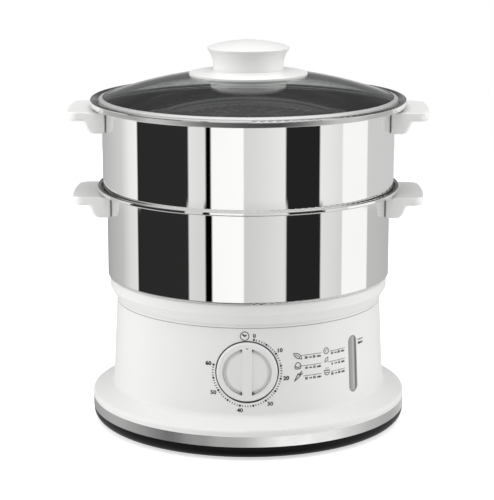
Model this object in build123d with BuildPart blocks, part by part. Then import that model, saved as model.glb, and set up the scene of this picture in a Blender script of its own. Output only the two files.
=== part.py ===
from build123d import *
import os
from math import atan, cos, pi, radians, sin, sqrt, tan

os.makedirs("parts", exist_ok=True)

# Two-tier electric food steamer, millimetres.  The origin is the centre of the circle on which
# the rubber feet stand, +Z is up and the timer knob faces -Y.

# ---------------------------------------------------------------------------------------------
# Driving dimensions
# ---------------------------------------------------------------------------------------------

# Stack of the steamer, from the surface it stands on upwards
foot_stand = 1.5            # rubber foot below the bottom cover
cover_height = 10.0         # bottom cover, up to the trim ring
ring_height = 8.2           # trim ring
lip_height = 4.6            # upright edge of the housing's flange
flange_rise = 6.7           # slope of the flange, up to the wall
housing_height = 80.9       # trim ring to the seam under the drip tray
tray_skirt_height = 2.6     # upright skirt of the drip tray
tray_cone_height = 8.6      # flare above the skirt
tray_band_height = 8.7      # upright band at the drip tray's rim
lower_bowl_height = 71.0    # shoulder to the ledge that carries the upper bowl
upper_bowl_height = 68.2    # shoulder to the ledge that carries the lid

# Plan, from the trim ring inwards and then up the stack
base_radius = 128.0         # trim ring and the housing's flange
cover_step = 0.3            # bottom cover inside the trim ring's outside
flange_width = 17.0         # trim ring to the foot of the housing's wall
wall_draft = 3.4            # wall's foot to its top
tray_skirt_step = 0.1       # skirt outside the wall's top
tray_flare = 5.1            # skirt to rim
lower_bowl_step = 1.6       # steel wall outside the drip tray's rim
upper_bowl_step = 3.2       # upper steel wall outside the lower one

# Mouldings
housing_wall = 2.6
housing_lip_round = 2.5
housing_flange_fillet = 5.0
housing_rim_round = 0.5     # outer edge under the drip tray
chamber_gap = 0.5           # thickening of the wall's foot inside
tank_floor_height = 16.3    # underside of the tank floor above the trim ring
tank_floor_thickness = 3.0
tank_foot_wall = 4.0        # tank's foot inside the wall's foot
tank_top_wall = 2.8         # tank's top inside the wall's top
tank_floor_fillet = 4.0
cover_plate = 2.4
cover_corner = 7.5
cover_inner_corner = 5.0
cover_lip_thickness = 1.8   # lip that stands up inside the trim ring

# Trim ring
ring_sheet = 1.2
ring_flange_width = 6.5

# Feet and the screws of the bottom cover
foot_count = 4
foot_inset = 19.7           # foot centres inside the bottom cover's edge
foot_radius = 8.5
foot_recess = 1.0
foot_stem_radius = 3.5
foot_stem_length = 2.4      # beyond the cover plate, pulled through its hole
screw_count = 4             # round the bottom cover, and round the heater's clamp ring
screw_angle = 45.0          # first screw and first foot, from +X
cover_screw_inset = 39.7    # screws inside the bottom cover's edge
cover_pillar_radius = 6.5
cover_pillar_height = 10.5
cover_screw_head_radius = 3.9
cover_screw_head_height = 2.5
cover_screw_shank_radius = 1.9
cover_screw_length = 15.0
cover_screw_floor = 2.5     # pillar material under the screw head
screw_head_clearance = 0.4
screw_hole_clearance = 0.2
housing_boss_radius = 4.6

# Cooling slots in the bottom cover
vent_count = 5
vent_length = 26.0
vent_width = 3.0
vent_pitch = 8.0
vent_offset = 62.0

# Water gauge: an obround window in the wall
gauge_azimuth = 49.5        # right of the front, degrees
gauge_drop = 38.1           # middle of the window below the seam
gauge_length = 44.0
gauge_width = 8.0
gauge_gasket_width = 1.0
gauge_depth = 3.6
gauge_inset = 0.3           # window face behind the wall's surface

# Timer knob and its recess
knob_drop = 34.5            # knob axis below the seam
knob_radius = 23.6
knob_gap = 1.0              # between knob and recess
knob_projection = 2.6       # face of the knob beyond the wall's top
knob_depth = 10.0
knob_edge_round = 1.2
knob_front_wall = 4.4
knob_side_wall = 2.4
knob_hub_radius = 6.0
knob_hub_setback = 0.6
knob_dish_radius = 19.0     # circle of the two grip recesses
knob_dish_middle = 0.8      # depth at the knob's axis
knob_dish_depth = 1.2       # where the slope to the groove starts
knob_groove_width = 1.4     # fingertip groove along the outside of each recess
knob_groove_depth = 3.0
knob_groove_run = 2.1       # slope from the recess down to the groove
knob_bar_width = 7.6        # grip bar left between the recesses
recess_floor_gap = 0.6      # behind the knob
recess_floor_thickness = 2.5
recess_hole_clearance = 1.0

# Timer compartment inside the housing
pocket_side_gap = 8.4       # beside the timer's case
bell_clearance = 1.8        # behind the timer's bell
pocket_roof_gap = 2.4       # roof below the seam
pocket_wrap_gap = 0.6       # block that joins the compartment to the wall, inside the wall's top
pocket_corner = 6.0

# Timer movement
timer_radius = 26.0
timer_depth = 18.0
timer_sheet = 1.0
timer_plate = 1.2
timer_screw_offset = 16.0
timer_screw_head_radius = 3.0
timer_screw_head_height = 1.6
timer_screw_shank_radius = 1.4
shaft_radius = 3.0
shaft_flat = 0.8            # depth of the flat of the D-shaped end
shaft_flat_length = 7.0
shaft_insertion = 4.6       # length inside the knob
bearing_clearance = 0.05
gear_module = 0.8
drive_teeth = 32
pinion_teeth = 8
gear_backlash = 0.28
gear_addendum = 0.7         # as a share of the module
gear_dedendum = 1.15        # as a share of the module
gear_flank_angle = 20.0
gear_width = 2.4
gear_setback = 9.0          # gear plane behind the case's front
pinion_extra_width = 0.8
escape_arbor_radius = 1.2
escape_wheel_radius = 6.8
escape_wheel_teeth = 15
escape_tooth_depth = 1.6
escape_tooth_lean = 0.8     # share of the pitch that a tooth's back takes
escape_wheel_thickness = 0.9
escape_wheel_setback = 14.5
spring_inner_radius = 5.0
spring_strip = 0.5
spring_pitch = 1.6
spring_turns = 5
spring_width = 5.0
bell_radius = 15.0
bell_height = 6.0
bell_sheet = 1.0
bell_edge_round = 0.9
bell_post_radius = 2.5
bell_gap = 1.5
bell_drop = 7.0             # bell centre below the shaft

# Heater under the tank floor
heater_opening_radius = 41.0
heater_sheet = 1.2
heater_dome_radius = 39.0
heater_dome_rise = 2.2      # plate top above the tank floor
heater_dome_corner = 4.0
heater_flange_radius = 50.0
heater_flange_corner = 2.0
seal_thickness = 1.0
seal_lip_height = 2.5       # lip inside the opening, above the floor's underside
clamp_radius = 59.0
clamp_inner_radius = 43.0
clamp_thickness = 1.6
heater_screw_offset = 54.5
clamp_boss_radius = 4.0
heater_screw_shank_radius = 1.5
heater_screw_head_radius = 3.0
heater_screw_head_height = 2.0
heater_screw_bite = 1.6
element_middle_radius = 26.0
element_radius = 3.2
element_gap_angle = 50.0
element_leg_length = 5.0
element_pin_radius = 1.4
element_pin_length = 7.0
thermostat_radius = 9.0
thermostat_height = 8.0
thermostat_blade = 5.0
thermostat_blade_sheet = 0.8
fuse_radius = 2.2
fuse_length = 11.0
fuse_offset = 14.5

# Mains inlet
gland_rise = 11.0           # axis above the tank floor's underside
gland_radius = 6.5
gland_neck_radius = 4.6
gland_bore_radius = 3.3
gland_flange_thickness = 2.0
gland_projection = 3.0
duct_half_width = 11.0      # cord duct moulded inside the rear wall
duct_depth = 16.0
duct_height = 22.0
terminal_length = 30.0
terminal_width = 14.0
terminal_height = 11.0
terminal_poles = 3
terminal_hole_radius = 2.2
terminal_gap = 8.0          # outside the heater's clamp ring, towards the rear left
terminal_angle = 150.0
clamp_bar_length = 26.0
clamp_bar_width = 8.0
clamp_bar_height = 6.0
clamp_bar_gap = 8.0         # clamp bar's middle in front of the duct

# Turbo ring round the heater
turbo_gap = 5.0             # foot clear of the timer compartment
turbo_wall = 2.0
turbo_height = 34.0
turbo_foot_width = 5.0
turbo_foot_thickness = 1.8
turbo_notch_count = 4
turbo_notch_width = 12.0
turbo_notch_height = 6.0

# Drip tray
tray_wall = 2.2
tray_sump_gap = 1.6         # sump wall clear of the timer compartment
tray_sump_depth = 14.6
tray_chimney_bore = 22.2    # radius, the steam's way up
tray_chimney_height = 20.5
tray_register_depth = 1.9   # ring that drops inside the housing
tray_register_gap = 0.6
tray_foot_round = 0.6       # outer edge on the housing
tray_fillet = 0.4           # inner corners
tray_sump_round = 2.6       # underside of the sump
tray_kink_round = 0.8       # where the flare meets the band

# Steel bowls
bowl_sheet = 0.8
bowl_foot_depth = 6.0
bowl_flange_width = 12.0    # inward flange that carries the grid
lower_foot_gap = 5.0        # foot ring inside the drip tray's rim
upper_foot_gap = 0.8        # foot ring inside the lower bowl
bowl_foot_bend = 1.6
bowl_tight_bend = 0.8
bowl_rim_bend = 1.4
bowl_hem_bend = 0.4
lower_ledge_width = 4.5
lower_rim_rise = 4.4        # ledge's underside to the hem's bend
lower_rim_flare = 2.3
lower_hem_drop = 4.0
lower_hem_lean = 0.1
upper_ledge_width = 3.9
upper_rim_rise = 5.5
upper_rim_flare = 4.9
upper_hem_drop = 5.5
upper_hem_lean = 0.9

# Removable grids in the bowls
grid_gap = 1.5
grid_sheet = 1.2
grid_rim_width = 2.0
grid_rim_height = 2.6
grid_slot_width = 5.0
grid_inner_slots = 8
grid_inner_start = 17.0
grid_inner_end = 46.0
grid_outer_slots = 16
grid_outer_start = 54.0
grid_slot_margin = 7.0      # outer slots inside the grid's rim

# Bowl handles
handle_gap = 2.4            # tab below the rolled hem
handle_reach = 27.0         # beyond the bowl's wall
handle_bulge = 2.4          # crown of the outer edge
handle_half_width = 35.2
handle_corner = 8.0
handle_tab = 7.0
handle_height = 17.0
handle_block_top = 12.0     # block beyond the wall, under the tab
handle_block_bottom = 8.2
handle_block_fillet = 2.5
handle_block_round = 6.5
handle_edge_round = 2.4
handle_top_round = 0.8
handle_end_round = 1.2      # upright edges along the wall
handle_screw_spacing = 32.0
handle_screw_drop = 10.5    # below the tab's top
handle_screw_head_radius = 3.5
handle_screw_head_height = 2.0
handle_screw_shank_radius = 1.6
handle_screw_bite = 7.0

# Lid
lid_gap = 0.8               # band inside the start of the rim's flare
lid_band_height = 4.6
lid_band_sheet = 0.6
lid_band_top_width = 3.2
lid_band_bottom_width = 6.0
lid_band_bend = 0.7
glass_thickness = 3.8
glass_edge_gap = 2.1        # gasket and band outside the glass's edge
glass_sphere_radius = 336.0
gasket_clearance = 0.1
washer_radius = 31.5
washer_height = 6.8
knob_base_radius = 47.5
knob_base_edge = 1.5
lid_knob_foot_radius = 28.3
knob_base_rise = 1.3        # knob foot above the glass's crown
lid_knob_neck = 3.8
lid_knob_radius = 33.1
lid_knob_flare = 12.4
lid_knob_edge = 1.0
lid_knob_crown = 5.6
lid_knob_edge_round = 0.45
glass_hole_radius = 5.0
lid_screw_radius = 2.0
lid_screw_head_radius = 4.5
lid_screw_head_height = 2.4
lid_screw_recess = 3.0
lid_screw_bite = 11.0

# ---------------------------------------------------------------------------------------------
# Levels and places that follow from them
# ---------------------------------------------------------------------------------------------

cover_radius = base_radius - cover_step
wall_foot_radius = base_radius - flange_width
wall_top_radius = wall_foot_radius - wall_draft
tray_skirt_radius = wall_top_radius + tray_skirt_step
tray_rim_radius = tray_skirt_radius + tray_flare
lower_bowl_radius = tray_rim_radius + lower_bowl_step
upper_bowl_radius = lower_bowl_radius + upper_bowl_step

cover_z = foot_stand
ring_z = cover_z + cover_height
housing_z = ring_z + ring_height
lip_z = housing_z + lip_height
wall_foot_z = lip_z + flange_rise
seam_z = housing_z + housing_height
tray_cone_z = seam_z + tray_skirt_height
tray_band_z = tray_cone_z + tray_cone_height
tray_rim_z = tray_band_z + tray_band_height
lower_ledge_z = tray_rim_z + lower_bowl_height
upper_ledge_z = lower_ledge_z + upper_bowl_height

knob_height = seam_z - knob_drop
gauge_height = seam_z - gauge_drop
floor_z = housing_z + tank_floor_height
gland_height = floor_z + gland_rise
duct_top = floor_z + duct_height
tank_z = floor_z + tank_floor_thickness
pocket_roof_z = seam_z - pocket_roof_gap
cover_inside_z = cover_z + cover_plate
tank_foot_radius = wall_foot_radius - tank_foot_wall
tank_top_radius = wall_top_radius - tank_top_wall
pocket_wrap_radius = wall_top_radius - pocket_wrap_gap
pocket_cavity_radius = wall_top_radius - housing_wall
duct_front = wall_top_radius - duct_depth
ring_inner_radius = base_radius - ring_sheet
ring_flange_z = housing_z - ring_sheet
pillar_top_z = cover_z + cover_pillar_height
foot_offset = cover_radius - foot_inset
cover_screw_offset = cover_radius - cover_screw_inset

knob_front = wall_top_radius + knob_projection
knob_back = knob_front - knob_depth
recess_floor = knob_back - recess_floor_gap
case_front = recess_floor - recess_floor_thickness
case_back = case_front - timer_depth
bell_back = case_back - timer_plate - bell_gap - bell_height
pocket_back = bell_back - bell_clearance - housing_wall
pocket_half_width = timer_radius + pocket_side_gap + housing_wall
turbo_radius = pocket_back - turbo_gap - turbo_foot_width
gear_centres = gear_module * (drive_teeth + pinion_teeth) / 2

heater_flange_z = floor_z - seal_thickness
clamp_z = heater_flange_z - heater_sheet
heater_inside_z = tank_z + heater_dome_rise - heater_sheet

wall_slope = atan((wall_foot_radius - wall_top_radius) / (seam_z - wall_foot_z))


def wall_radius_at(z):
    """Outside radius of the housing's tapered wall at a height."""
    return wall_foot_radius - (z - wall_foot_z) * tan(wall_slope)


def knob_plane(distance):
    """Plane square to the knob's axis, at a distance in front of the steamer's axis."""
    return Plane(origin=(0, -distance, knob_height), x_dir=(1, 0, 0), z_dir=(0, -1, 0))


def gland_plane(distance):
    """Plane square to the cord gland's axis, at a distance behind the steamer's axis."""
    return Plane(origin=(0, distance, gland_height), x_dir=(-1, 0, 0), z_dir=(0, 1, 0))


def ring_section(inner, outer, low, high):
    """Rectangular (r, z) section of a ring."""
    with BuildSketch(Plane.XZ) as section:
        with Locations(((inner + outer) / 2, (low + high) / 2)):
            Rectangle(outer - inner, high - low)
    return section.sketch


def sheet_section(corners, bends, thickness):
    """Section of bent sheet: a path of (r, z) corners with the thickness on its left."""
    with BuildSketch(Plane.XZ) as section:
        with BuildLine():
            FilletPolyline(*corners, radius=bends)
            offset(amount=thickness, side=Side.LEFT)
        make_face()
    return section.sketch


def near(r, z):
    """The vertex of the running sketch nearest to a point."""
    return vertices().sort_by_distance((r, z))[0]


# ---------------------------------------------------------------------------------------------
# Base: housing with its tank, flange, timer compartment and cord duct in one moulding
# ---------------------------------------------------------------------------------------------

boss_top_z = floor_z
boss_low_z = pillar_top_z
gauge_plane = Plane(
    origin=(
        wall_radius_at(gauge_height) * sin(radians(gauge_azimuth)),
        -wall_radius_at(gauge_height) * cos(radians(gauge_azimuth)),
        gauge_height,
    ),
    x_dir=(cos(radians(gauge_azimuth)), sin(radians(gauge_azimuth)), 0),
    z_dir=(
        sin(radians(gauge_azimuth)) * cos(wall_slope),
        -cos(radians(gauge_azimuth)) * cos(wall_slope),
        sin(wall_slope),
    ),
)
flange_slope = flange_rise / (base_radius - wall_foot_radius)
chamber_radius = wall_foot_radius - housing_wall - chamber_gap
flange_drop = housing_wall * sqrt(1 + flange_slope**2)


def flange_underside(r):
    """Height of the flange's underside at a radius."""
    return lip_z + (base_radius - r) * flange_slope - flange_drop


with BuildPart() as base_housing:
    # Flange and tapered wall
    with BuildSketch(Plane.XZ):
        with BuildLine():
            Polyline(
                (0, housing_z),
                (base_radius, housing_z),
                (base_radius, lip_z),
                (wall_foot_radius, wall_foot_z),
                (wall_top_radius, seam_z),
                (0, seam_z),
                close=True,
            )
        make_face()
        fillet(near(base_radius, lip_z), housing_lip_round)
        fillet(near(wall_foot_radius, wall_foot_z), housing_flange_fillet)
        fillet(near(wall_top_radius, seam_z), housing_rim_round)
    revolve(axis=Axis.Z)
    # Dry chamber under the tank floor and the flange
    with BuildSketch(Plane.XZ):
        with BuildLine():
            Polyline(
                (0, housing_z),
                (base_radius - housing_wall, housing_z),
                (base_radius - housing_wall, flange_underside(base_radius - housing_wall)),
                (chamber_radius, flange_underside(chamber_radius)),
                (chamber_radius, floor_z),
                (0, floor_z),
                close=True,
            )
        make_face()
    revolve(axis=Axis.Z, mode=Mode.SUBTRACT)
    # Water tank
    with BuildSketch(Plane.XZ):
        with BuildLine():
            Polyline(
                (0, tank_z),
                (tank_foot_radius, tank_z),
                (tank_top_radius, seam_z),
                (0, seam_z),
                close=True,
            )
        make_face()
        fillet(near(tank_foot_radius, tank_z), tank_floor_fillet)
    revolve(axis=Axis.Z, mode=Mode.SUBTRACT)
    # Timer compartment and cord duct, walled off from the water
    with BuildSketch(Plane.XY.offset(floor_z)):
        Circle(pocket_wrap_radius)
        with Locations((0, -pocket_back)):
            Rectangle(
                2 * pocket_half_width,
                base_radius,
                align=(Align.CENTER, Align.MAX),
                mode=Mode.INTERSECT,
            )
        fillet(vertices().group_by(Axis.Y)[-1], pocket_corner)
    extrude(amount=pocket_roof_z - floor_z)
    with BuildSketch(Plane.XY.offset(floor_z)):
        Circle(pocket_wrap_radius)
        with Locations((0, duct_front)):
            Rectangle(
                2 * duct_half_width,
                base_radius,
                align=(Align.CENTER, Align.MIN),
                mode=Mode.INTERSECT,
            )
    extrude(amount=duct_top - floor_z)
    with BuildSketch(Plane.XY.offset(floor_z)):
        Circle(pocket_cavity_radius)
        with Locations((0, -pocket_back - housing_wall)):
            Rectangle(
                2 * (pocket_half_width - housing_wall),
                base_radius,
                align=(Align.CENTER, Align.MAX),
                mode=Mode.INTERSECT,
            )
        fillet(vertices().group_by(Axis.Y)[-1], pocket_corner - housing_wall)
    extrude(amount=pocket_roof_z - floor_z - housing_wall, mode=Mode.SUBTRACT)
    with BuildSketch(Plane.XY.offset(floor_z)):
        Circle(pocket_cavity_radius)
        with Locations((0, duct_front + housing_wall)):
            Rectangle(
                2 * (duct_half_width - housing_wall),
                base_radius,
                align=(Align.CENTER, Align.MIN),
                mode=Mode.INTERSECT,
            )
    extrude(amount=duct_top - floor_z - housing_wall, mode=Mode.SUBTRACT)
    # Round recess for the timer knob, with the boss that carries the timer
    with BuildSketch(knob_plane(case_front)):
        Circle(knob_radius + knob_gap + housing_wall)
    extrude(amount=pocket_cavity_radius - case_front)
    with BuildSketch(knob_plane(recess_floor)):
        Circle(knob_radius + knob_gap)
    extrude(amount=base_radius - recess_floor, mode=Mode.SUBTRACT)
    with BuildSketch(knob_plane(case_front)):
        Circle(shaft_radius + recess_hole_clearance)
        with Locations((timer_screw_offset, 0), (-timer_screw_offset, 0)):
            Circle(timer_screw_shank_radius + screw_hole_clearance)
    extrude(amount=recess_floor_thickness, mode=Mode.SUBTRACT)
    # Opening for the heating plate and the bosses of its clamp ring
    with BuildSketch(Plane.XY.offset(clamp_z)):
        with PolarLocations(heater_screw_offset, screw_count, start_angle=screw_angle):
            Circle(clamp_boss_radius)
    extrude(amount=floor_z - clamp_z)
    with BuildSketch(Plane.XY.offset(floor_z)):
        Circle(heater_opening_radius)
    extrude(amount=tank_floor_thickness, mode=Mode.SUBTRACT)
    with BuildSketch(Plane.XY.offset(clamp_z)):
        with PolarLocations(heater_screw_offset, screw_count, start_angle=screw_angle):
            Circle(heater_screw_shank_radius)
    extrude(amount=floor_z - clamp_z + heater_screw_bite, mode=Mode.SUBTRACT)
    # Bosses for the bottom cover's screws
    with BuildSketch(Plane.XY.offset(boss_low_z)):
        with PolarLocations(cover_screw_offset, screw_count, start_angle=screw_angle):
            Circle(housing_boss_radius)
    extrude(amount=boss_top_z - boss_low_z)
    with BuildSketch(Plane.XY.offset(boss_low_z)):
        with PolarLocations(cover_screw_offset, screw_count, start_angle=screw_angle):
            Circle(cover_screw_shank_radius)
    extrude(amount=cover_screw_length, mode=Mode.SUBTRACT)
    # Slot for the water gauge and hole for the cord gland
    with BuildSketch(gauge_plane):
        SlotOverall(
            gauge_length + 2 * gauge_gasket_width,
            gauge_width + 2 * gauge_gasket_width,
            rotation=90,
        )
    extrude(amount=2 * gauge_depth, both=True, mode=Mode.SUBTRACT)
    with BuildSketch(gland_plane(pocket_cavity_radius - housing_wall)):
        Circle(gland_neck_radius)
    extrude(amount=base_radius - pocket_cavity_radius, mode=Mode.SUBTRACT)
base_housing.part.label = "base_housing"
export_step(base_housing.part, "parts/base_housing.step")

with BuildPart() as trim_ring:
    revolve(ring_section(ring_inner_radius, base_radius, ring_z, housing_z), axis=Axis.Z)
    revolve(
        ring_section(base_radius - ring_flange_width, ring_inner_radius, ring_flange_z, housing_z),
        axis=Axis.Z,
    )
trim_ring.part.label = "trim_ring"
export_step(trim_ring.part, "parts/trim_ring.step")

cover_lip_inner = ring_inner_radius - cover_lip_thickness
counterbore_z = pillar_top_z - cover_screw_floor

with BuildPart() as bottom_cover:
    with BuildSketch(Plane.XZ):
        with BuildLine():
            Polyline(
                (0, cover_z),
                (cover_radius, cover_z),
                (cover_radius, ring_z),
                (ring_inner_radius, ring_z),
                (ring_inner_radius, ring_flange_z),
                (cover_lip_inner, ring_flange_z),
                (cover_lip_inner, cover_inside_z),
                (0, cover_inside_z),
                close=True,
            )
        make_face()
        fillet(near(cover_radius, cover_z), cover_corner)
        fillet(near(cover_lip_inner, cover_inside_z), cover_inner_corner)
    revolve(axis=Axis.Z)
    with BuildSketch(Plane.XY.offset(cover_z)):
        with PolarLocations(cover_screw_offset, screw_count, start_angle=screw_angle):
            Circle(cover_pillar_radius)
    extrude(amount=cover_pillar_height)
    with BuildSketch(Plane.XY.offset(cover_z)):
        with PolarLocations(cover_screw_offset, screw_count, start_angle=screw_angle):
            Circle(cover_screw_head_radius + screw_head_clearance)
    extrude(amount=counterbore_z - cover_z, mode=Mode.SUBTRACT)
    with BuildSketch(Plane.XY.offset(counterbore_z)):
        with PolarLocations(cover_screw_offset, screw_count, start_angle=screw_angle):
            Circle(cover_screw_shank_radius + screw_hole_clearance)
    extrude(amount=cover_screw_floor, mode=Mode.SUBTRACT)
    with BuildSketch(Plane.XY.offset(cover_z)):
        with PolarLocations(foot_offset, foot_count, start_angle=screw_angle):
            Circle(foot_radius)
    extrude(amount=foot_recess, mode=Mode.SUBTRACT)
    with BuildSketch(Plane.XY.offset(cover_z + foot_recess)):
        with PolarLocations(foot_offset, foot_count, start_angle=screw_angle):
            Circle(foot_stem_radius)
    extrude(amount=cover_plate - foot_recess, mode=Mode.SUBTRACT)
    with BuildSketch(Plane.XY.offset(cover_z)):
        with Locations((-vent_offset, 0), (vent_offset, 0)):
            with GridLocations(0, vent_pitch, 1, vent_count):
                SlotOverall(vent_length, vent_width)
    extrude(amount=cover_plate, mode=Mode.SUBTRACT)
bottom_cover.part.label = "bottom_cover"
export_step(bottom_cover.part, "parts/bottom_cover.step")

with BuildPart() as rubber_feet:
    with BuildSketch():
        with PolarLocations(foot_offset, foot_count, start_angle=screw_angle):
            Circle(foot_radius)
    extrude(amount=foot_stand + foot_recess)
    with BuildSketch(Plane.XY.offset(foot_stand + foot_recess)):
        with PolarLocations(foot_offset, foot_count, start_angle=screw_angle):
            Circle(foot_stem_radius)
    extrude(amount=cover_plate - foot_recess + foot_stem_length)
rubber_feet.part.label = "rubber_feet"
export_step(rubber_feet.part, "parts/rubber_feet.step")

with BuildPart() as cover_screws:
    with BuildSketch(Plane.XY.offset(counterbore_z - cover_screw_head_height)):
        with PolarLocations(cover_screw_offset, screw_count, start_angle=screw_angle):
            Circle(cover_screw_head_radius)
    extrude(amount=cover_screw_head_height)
    with BuildSketch(Plane.XY.offset(counterbore_z)):
        with PolarLocations(cover_screw_offset, screw_count, start_angle=screw_angle):
            Circle(cover_screw_shank_radius)
    extrude(amount=cover_screw_length)
cover_screws.part.label = "cover_screws"
export_step(cover_screws.part, "parts/cover_screws.step")

with BuildPart() as gauge_window:
    with BuildSketch(gauge_plane.offset(-gauge_inset)):
        SlotOverall(gauge_length, gauge_width, rotation=90)
    extrude(amount=gauge_inset - gauge_depth)
gauge_window.part.label = "gauge_window"
export_step(gauge_window.part, "parts/gauge_window.step")

with BuildPart() as gauge_gasket:
    with BuildSketch(gauge_plane):
        SlotOverall(
            gauge_length + 2 * gauge_gasket_width,
            gauge_width + 2 * gauge_gasket_width,
            rotation=90,
        )
        SlotOverall(gauge_length, gauge_width, rotation=90, mode=Mode.SUBTRACT)
    extrude(amount=-gauge_depth)
gauge_gasket.part.label = "gauge_gasket"
export_step(gauge_gasket.part, "parts/gauge_gasket.step")

# ---------------------------------------------------------------------------------------------
# Heater: domed steel plate pressed up against the tank floor by a clamp ring
# ---------------------------------------------------------------------------------------------

with BuildPart() as heating_plate:
    revolve(
        sheet_section(
            [
                (0, heater_inside_z),
                (heater_dome_radius - heater_sheet, heater_inside_z),
                (heater_dome_radius - heater_sheet, clamp_z),
                (heater_flange_radius, clamp_z),
            ],
            [heater_dome_corner - heater_sheet, heater_flange_corner],
            heater_sheet,
        ),
        axis=Axis.Z,
    )
heating_plate.part.label = "heating_plate"
export_step(heating_plate.part, "parts/heating_plate.step")

seal_inner_radius = heater_dome_radius + heater_flange_corner - heater_sheet

with BuildPart() as heater_seal:
    revolve(
        ring_section(seal_inner_radius, heater_flange_radius, heater_flange_z, floor_z), axis=Axis.Z
    )
    revolve(
        ring_section(seal_inner_radius, heater_opening_radius, floor_z, floor_z + seal_lip_height),
        axis=Axis.Z,
    )
heater_seal.part.label = "heater_seal"
export_step(heater_seal.part, "parts/heater_seal.step")

with BuildPart() as heater_clamp_ring:
    with BuildSketch(Plane.XY.offset(clamp_z - clamp_thickness)):
        Circle(clamp_radius)
        Circle(clamp_inner_radius, mode=Mode.SUBTRACT)
        with PolarLocations(heater_screw_offset, screw_count, start_angle=screw_angle):
            Circle(heater_screw_shank_radius + screw_hole_clearance, mode=Mode.SUBTRACT)
    extrude(amount=clamp_thickness)
heater_clamp_ring.part.label = "heater_clamp_ring"
export_step(heater_clamp_ring.part, "parts/heater_clamp_ring.step")

with BuildPart() as heater_screws:
    with BuildSketch(Plane.XY.offset(clamp_z - clamp_thickness - heater_screw_head_height)):
        with PolarLocations(heater_screw_offset, screw_count, start_angle=screw_angle):
            Circle(heater_screw_head_radius)
    extrude(amount=heater_screw_head_height)
    with BuildSketch(Plane.XY.offset(clamp_z - clamp_thickness)):
        with PolarLocations(heater_screw_offset, screw_count, start_angle=screw_angle):
            Circle(heater_screw_shank_radius)
    extrude(amount=clamp_thickness + floor_z - clamp_z + heater_screw_bite)
heater_screws.part.label = "heater_screws"
export_step(heater_screws.part, "parts/heater_screws.step")

element_z = heater_inside_z - element_radius
element_sweep = 360 - element_gap_angle

with BuildPart() as heating_element:
    with BuildSketch(Plane.XZ):
        with Locations((element_middle_radius, element_z)):
            Circle(element_radius)
    revolve(axis=Axis.Z, revolution_arc=element_sweep)
    with BuildSketch(Plane.XY.offset(element_z - element_leg_length - element_radius)):
        with Locations((element_middle_radius, 0)):
            Circle(element_radius)
        with PolarLocations(element_middle_radius, 1, start_angle=element_sweep):
            Circle(element_radius)
    extrude(amount=element_leg_length + element_radius)
    with BuildSketch(Plane.XY.offset(element_z - element_leg_length - element_radius)):
        with Locations((element_middle_radius, 0)):
            Circle(element_pin_radius)
        with PolarLocations(element_middle_radius, 1, start_angle=element_sweep):
            Circle(element_pin_radius)
    extrude(amount=-element_pin_length)
heating_element.part.label = "heating_element"
export_step(heating_element.part, "parts/heating_element.step")

with BuildPart() as thermostat:
    with BuildSketch(Plane.XY.offset(heater_inside_z)):
        Circle(thermostat_radius)
    extrude(amount=-thermostat_height)
    with BuildSketch(Plane.XY.offset(heater_inside_z - thermostat_height)):
        with Locations((0, -thermostat_blade), (0, thermostat_blade)):
            Rectangle(thermostat_blade, thermostat_blade_sheet)
    extrude(amount=-thermostat_blade)
thermostat.part.label = "thermostat"
export_step(thermostat.part, "parts/thermostat.step")

with BuildPart() as thermal_fuse:
    with BuildSketch(Plane.YZ.offset(-fuse_length / 2)):
        with Locations((fuse_offset, heater_inside_z - fuse_radius)):
            Circle(fuse_radius)
            with Locations((0, fuse_radius / 2)):
                Rectangle(2 * fuse_radius, fuse_radius)
    extrude(amount=fuse_length)
thermal_fuse.part.label = "thermal_fuse"
export_step(thermal_fuse.part, "parts/thermal_fuse.step")

# ---------------------------------------------------------------------------------------------
# Mains inlet inside the base
# ---------------------------------------------------------------------------------------------

terminal_offset = clamp_radius + terminal_gap + terminal_width / 2
clamp_bar_offset = duct_front - clamp_bar_gap
gland_seat = wall_radius_at(gland_height - gland_radius)
gland_inner_seat = sqrt(pocket_cavity_radius**2 - gland_radius**2)

with BuildPart() as cord_gland:
    with BuildSketch(gland_plane(gland_inner_seat)):
        Circle(gland_radius)
    extrude(amount=-gland_flange_thickness)
    with BuildSketch(gland_plane(gland_inner_seat)):
        Circle(gland_neck_radius)
    extrude(amount=gland_seat - gland_inner_seat)
    with BuildSketch(gland_plane(gland_seat)):
        Circle(gland_radius)
    extrude(amount=gland_projection)
    with BuildSketch(gland_plane(0)):
        Circle(gland_bore_radius)
    extrude(amount=base_radius, mode=Mode.SUBTRACT)
cord_gland.part.label = "cord_gland"
export_step(cord_gland.part, "parts/cord_gland.step")

terminal_plane = Plane(
    origin=(
        terminal_offset * cos(radians(terminal_angle)),
        terminal_offset * sin(radians(terminal_angle)),
        floor_z,
    ),
    x_dir=(-sin(radians(terminal_angle)), cos(radians(terminal_angle)), 0),
    z_dir=(0, 0, 1),
)

with BuildPart() as terminal_block:
    with BuildSketch(terminal_plane):
        Rectangle(terminal_length, terminal_width)
    extrude(amount=-terminal_height)
    with BuildSketch(terminal_plane.offset(-terminal_height)):
        with GridLocations(terminal_length / terminal_poles, 0, terminal_poles, 1):
            Circle(terminal_hole_radius)
    extrude(amount=terminal_height / 2, mode=Mode.SUBTRACT)
terminal_block.part.label = "terminal_block"
export_step(terminal_block.part, "parts/terminal_block.step")

with BuildPart() as cord_clamp:
    with BuildSketch(Plane.XZ.offset(-clamp_bar_offset)):
        with Locations((0, floor_z)):
            Rectangle(clamp_bar_length, clamp_bar_height, align=(Align.CENTER, Align.MAX))
            Circle(gland_bore_radius, mode=Mode.SUBTRACT)
    extrude(amount=clamp_bar_width / 2, both=True)
cord_clamp.part.label = "cord_clamp"
export_step(cord_clamp.part, "parts/cord_clamp.step")

# ---------------------------------------------------------------------------------------------
# Mechanical timer: case behind the recess, shaft and gear train inside it, bell on its back
# ---------------------------------------------------------------------------------------------


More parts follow.
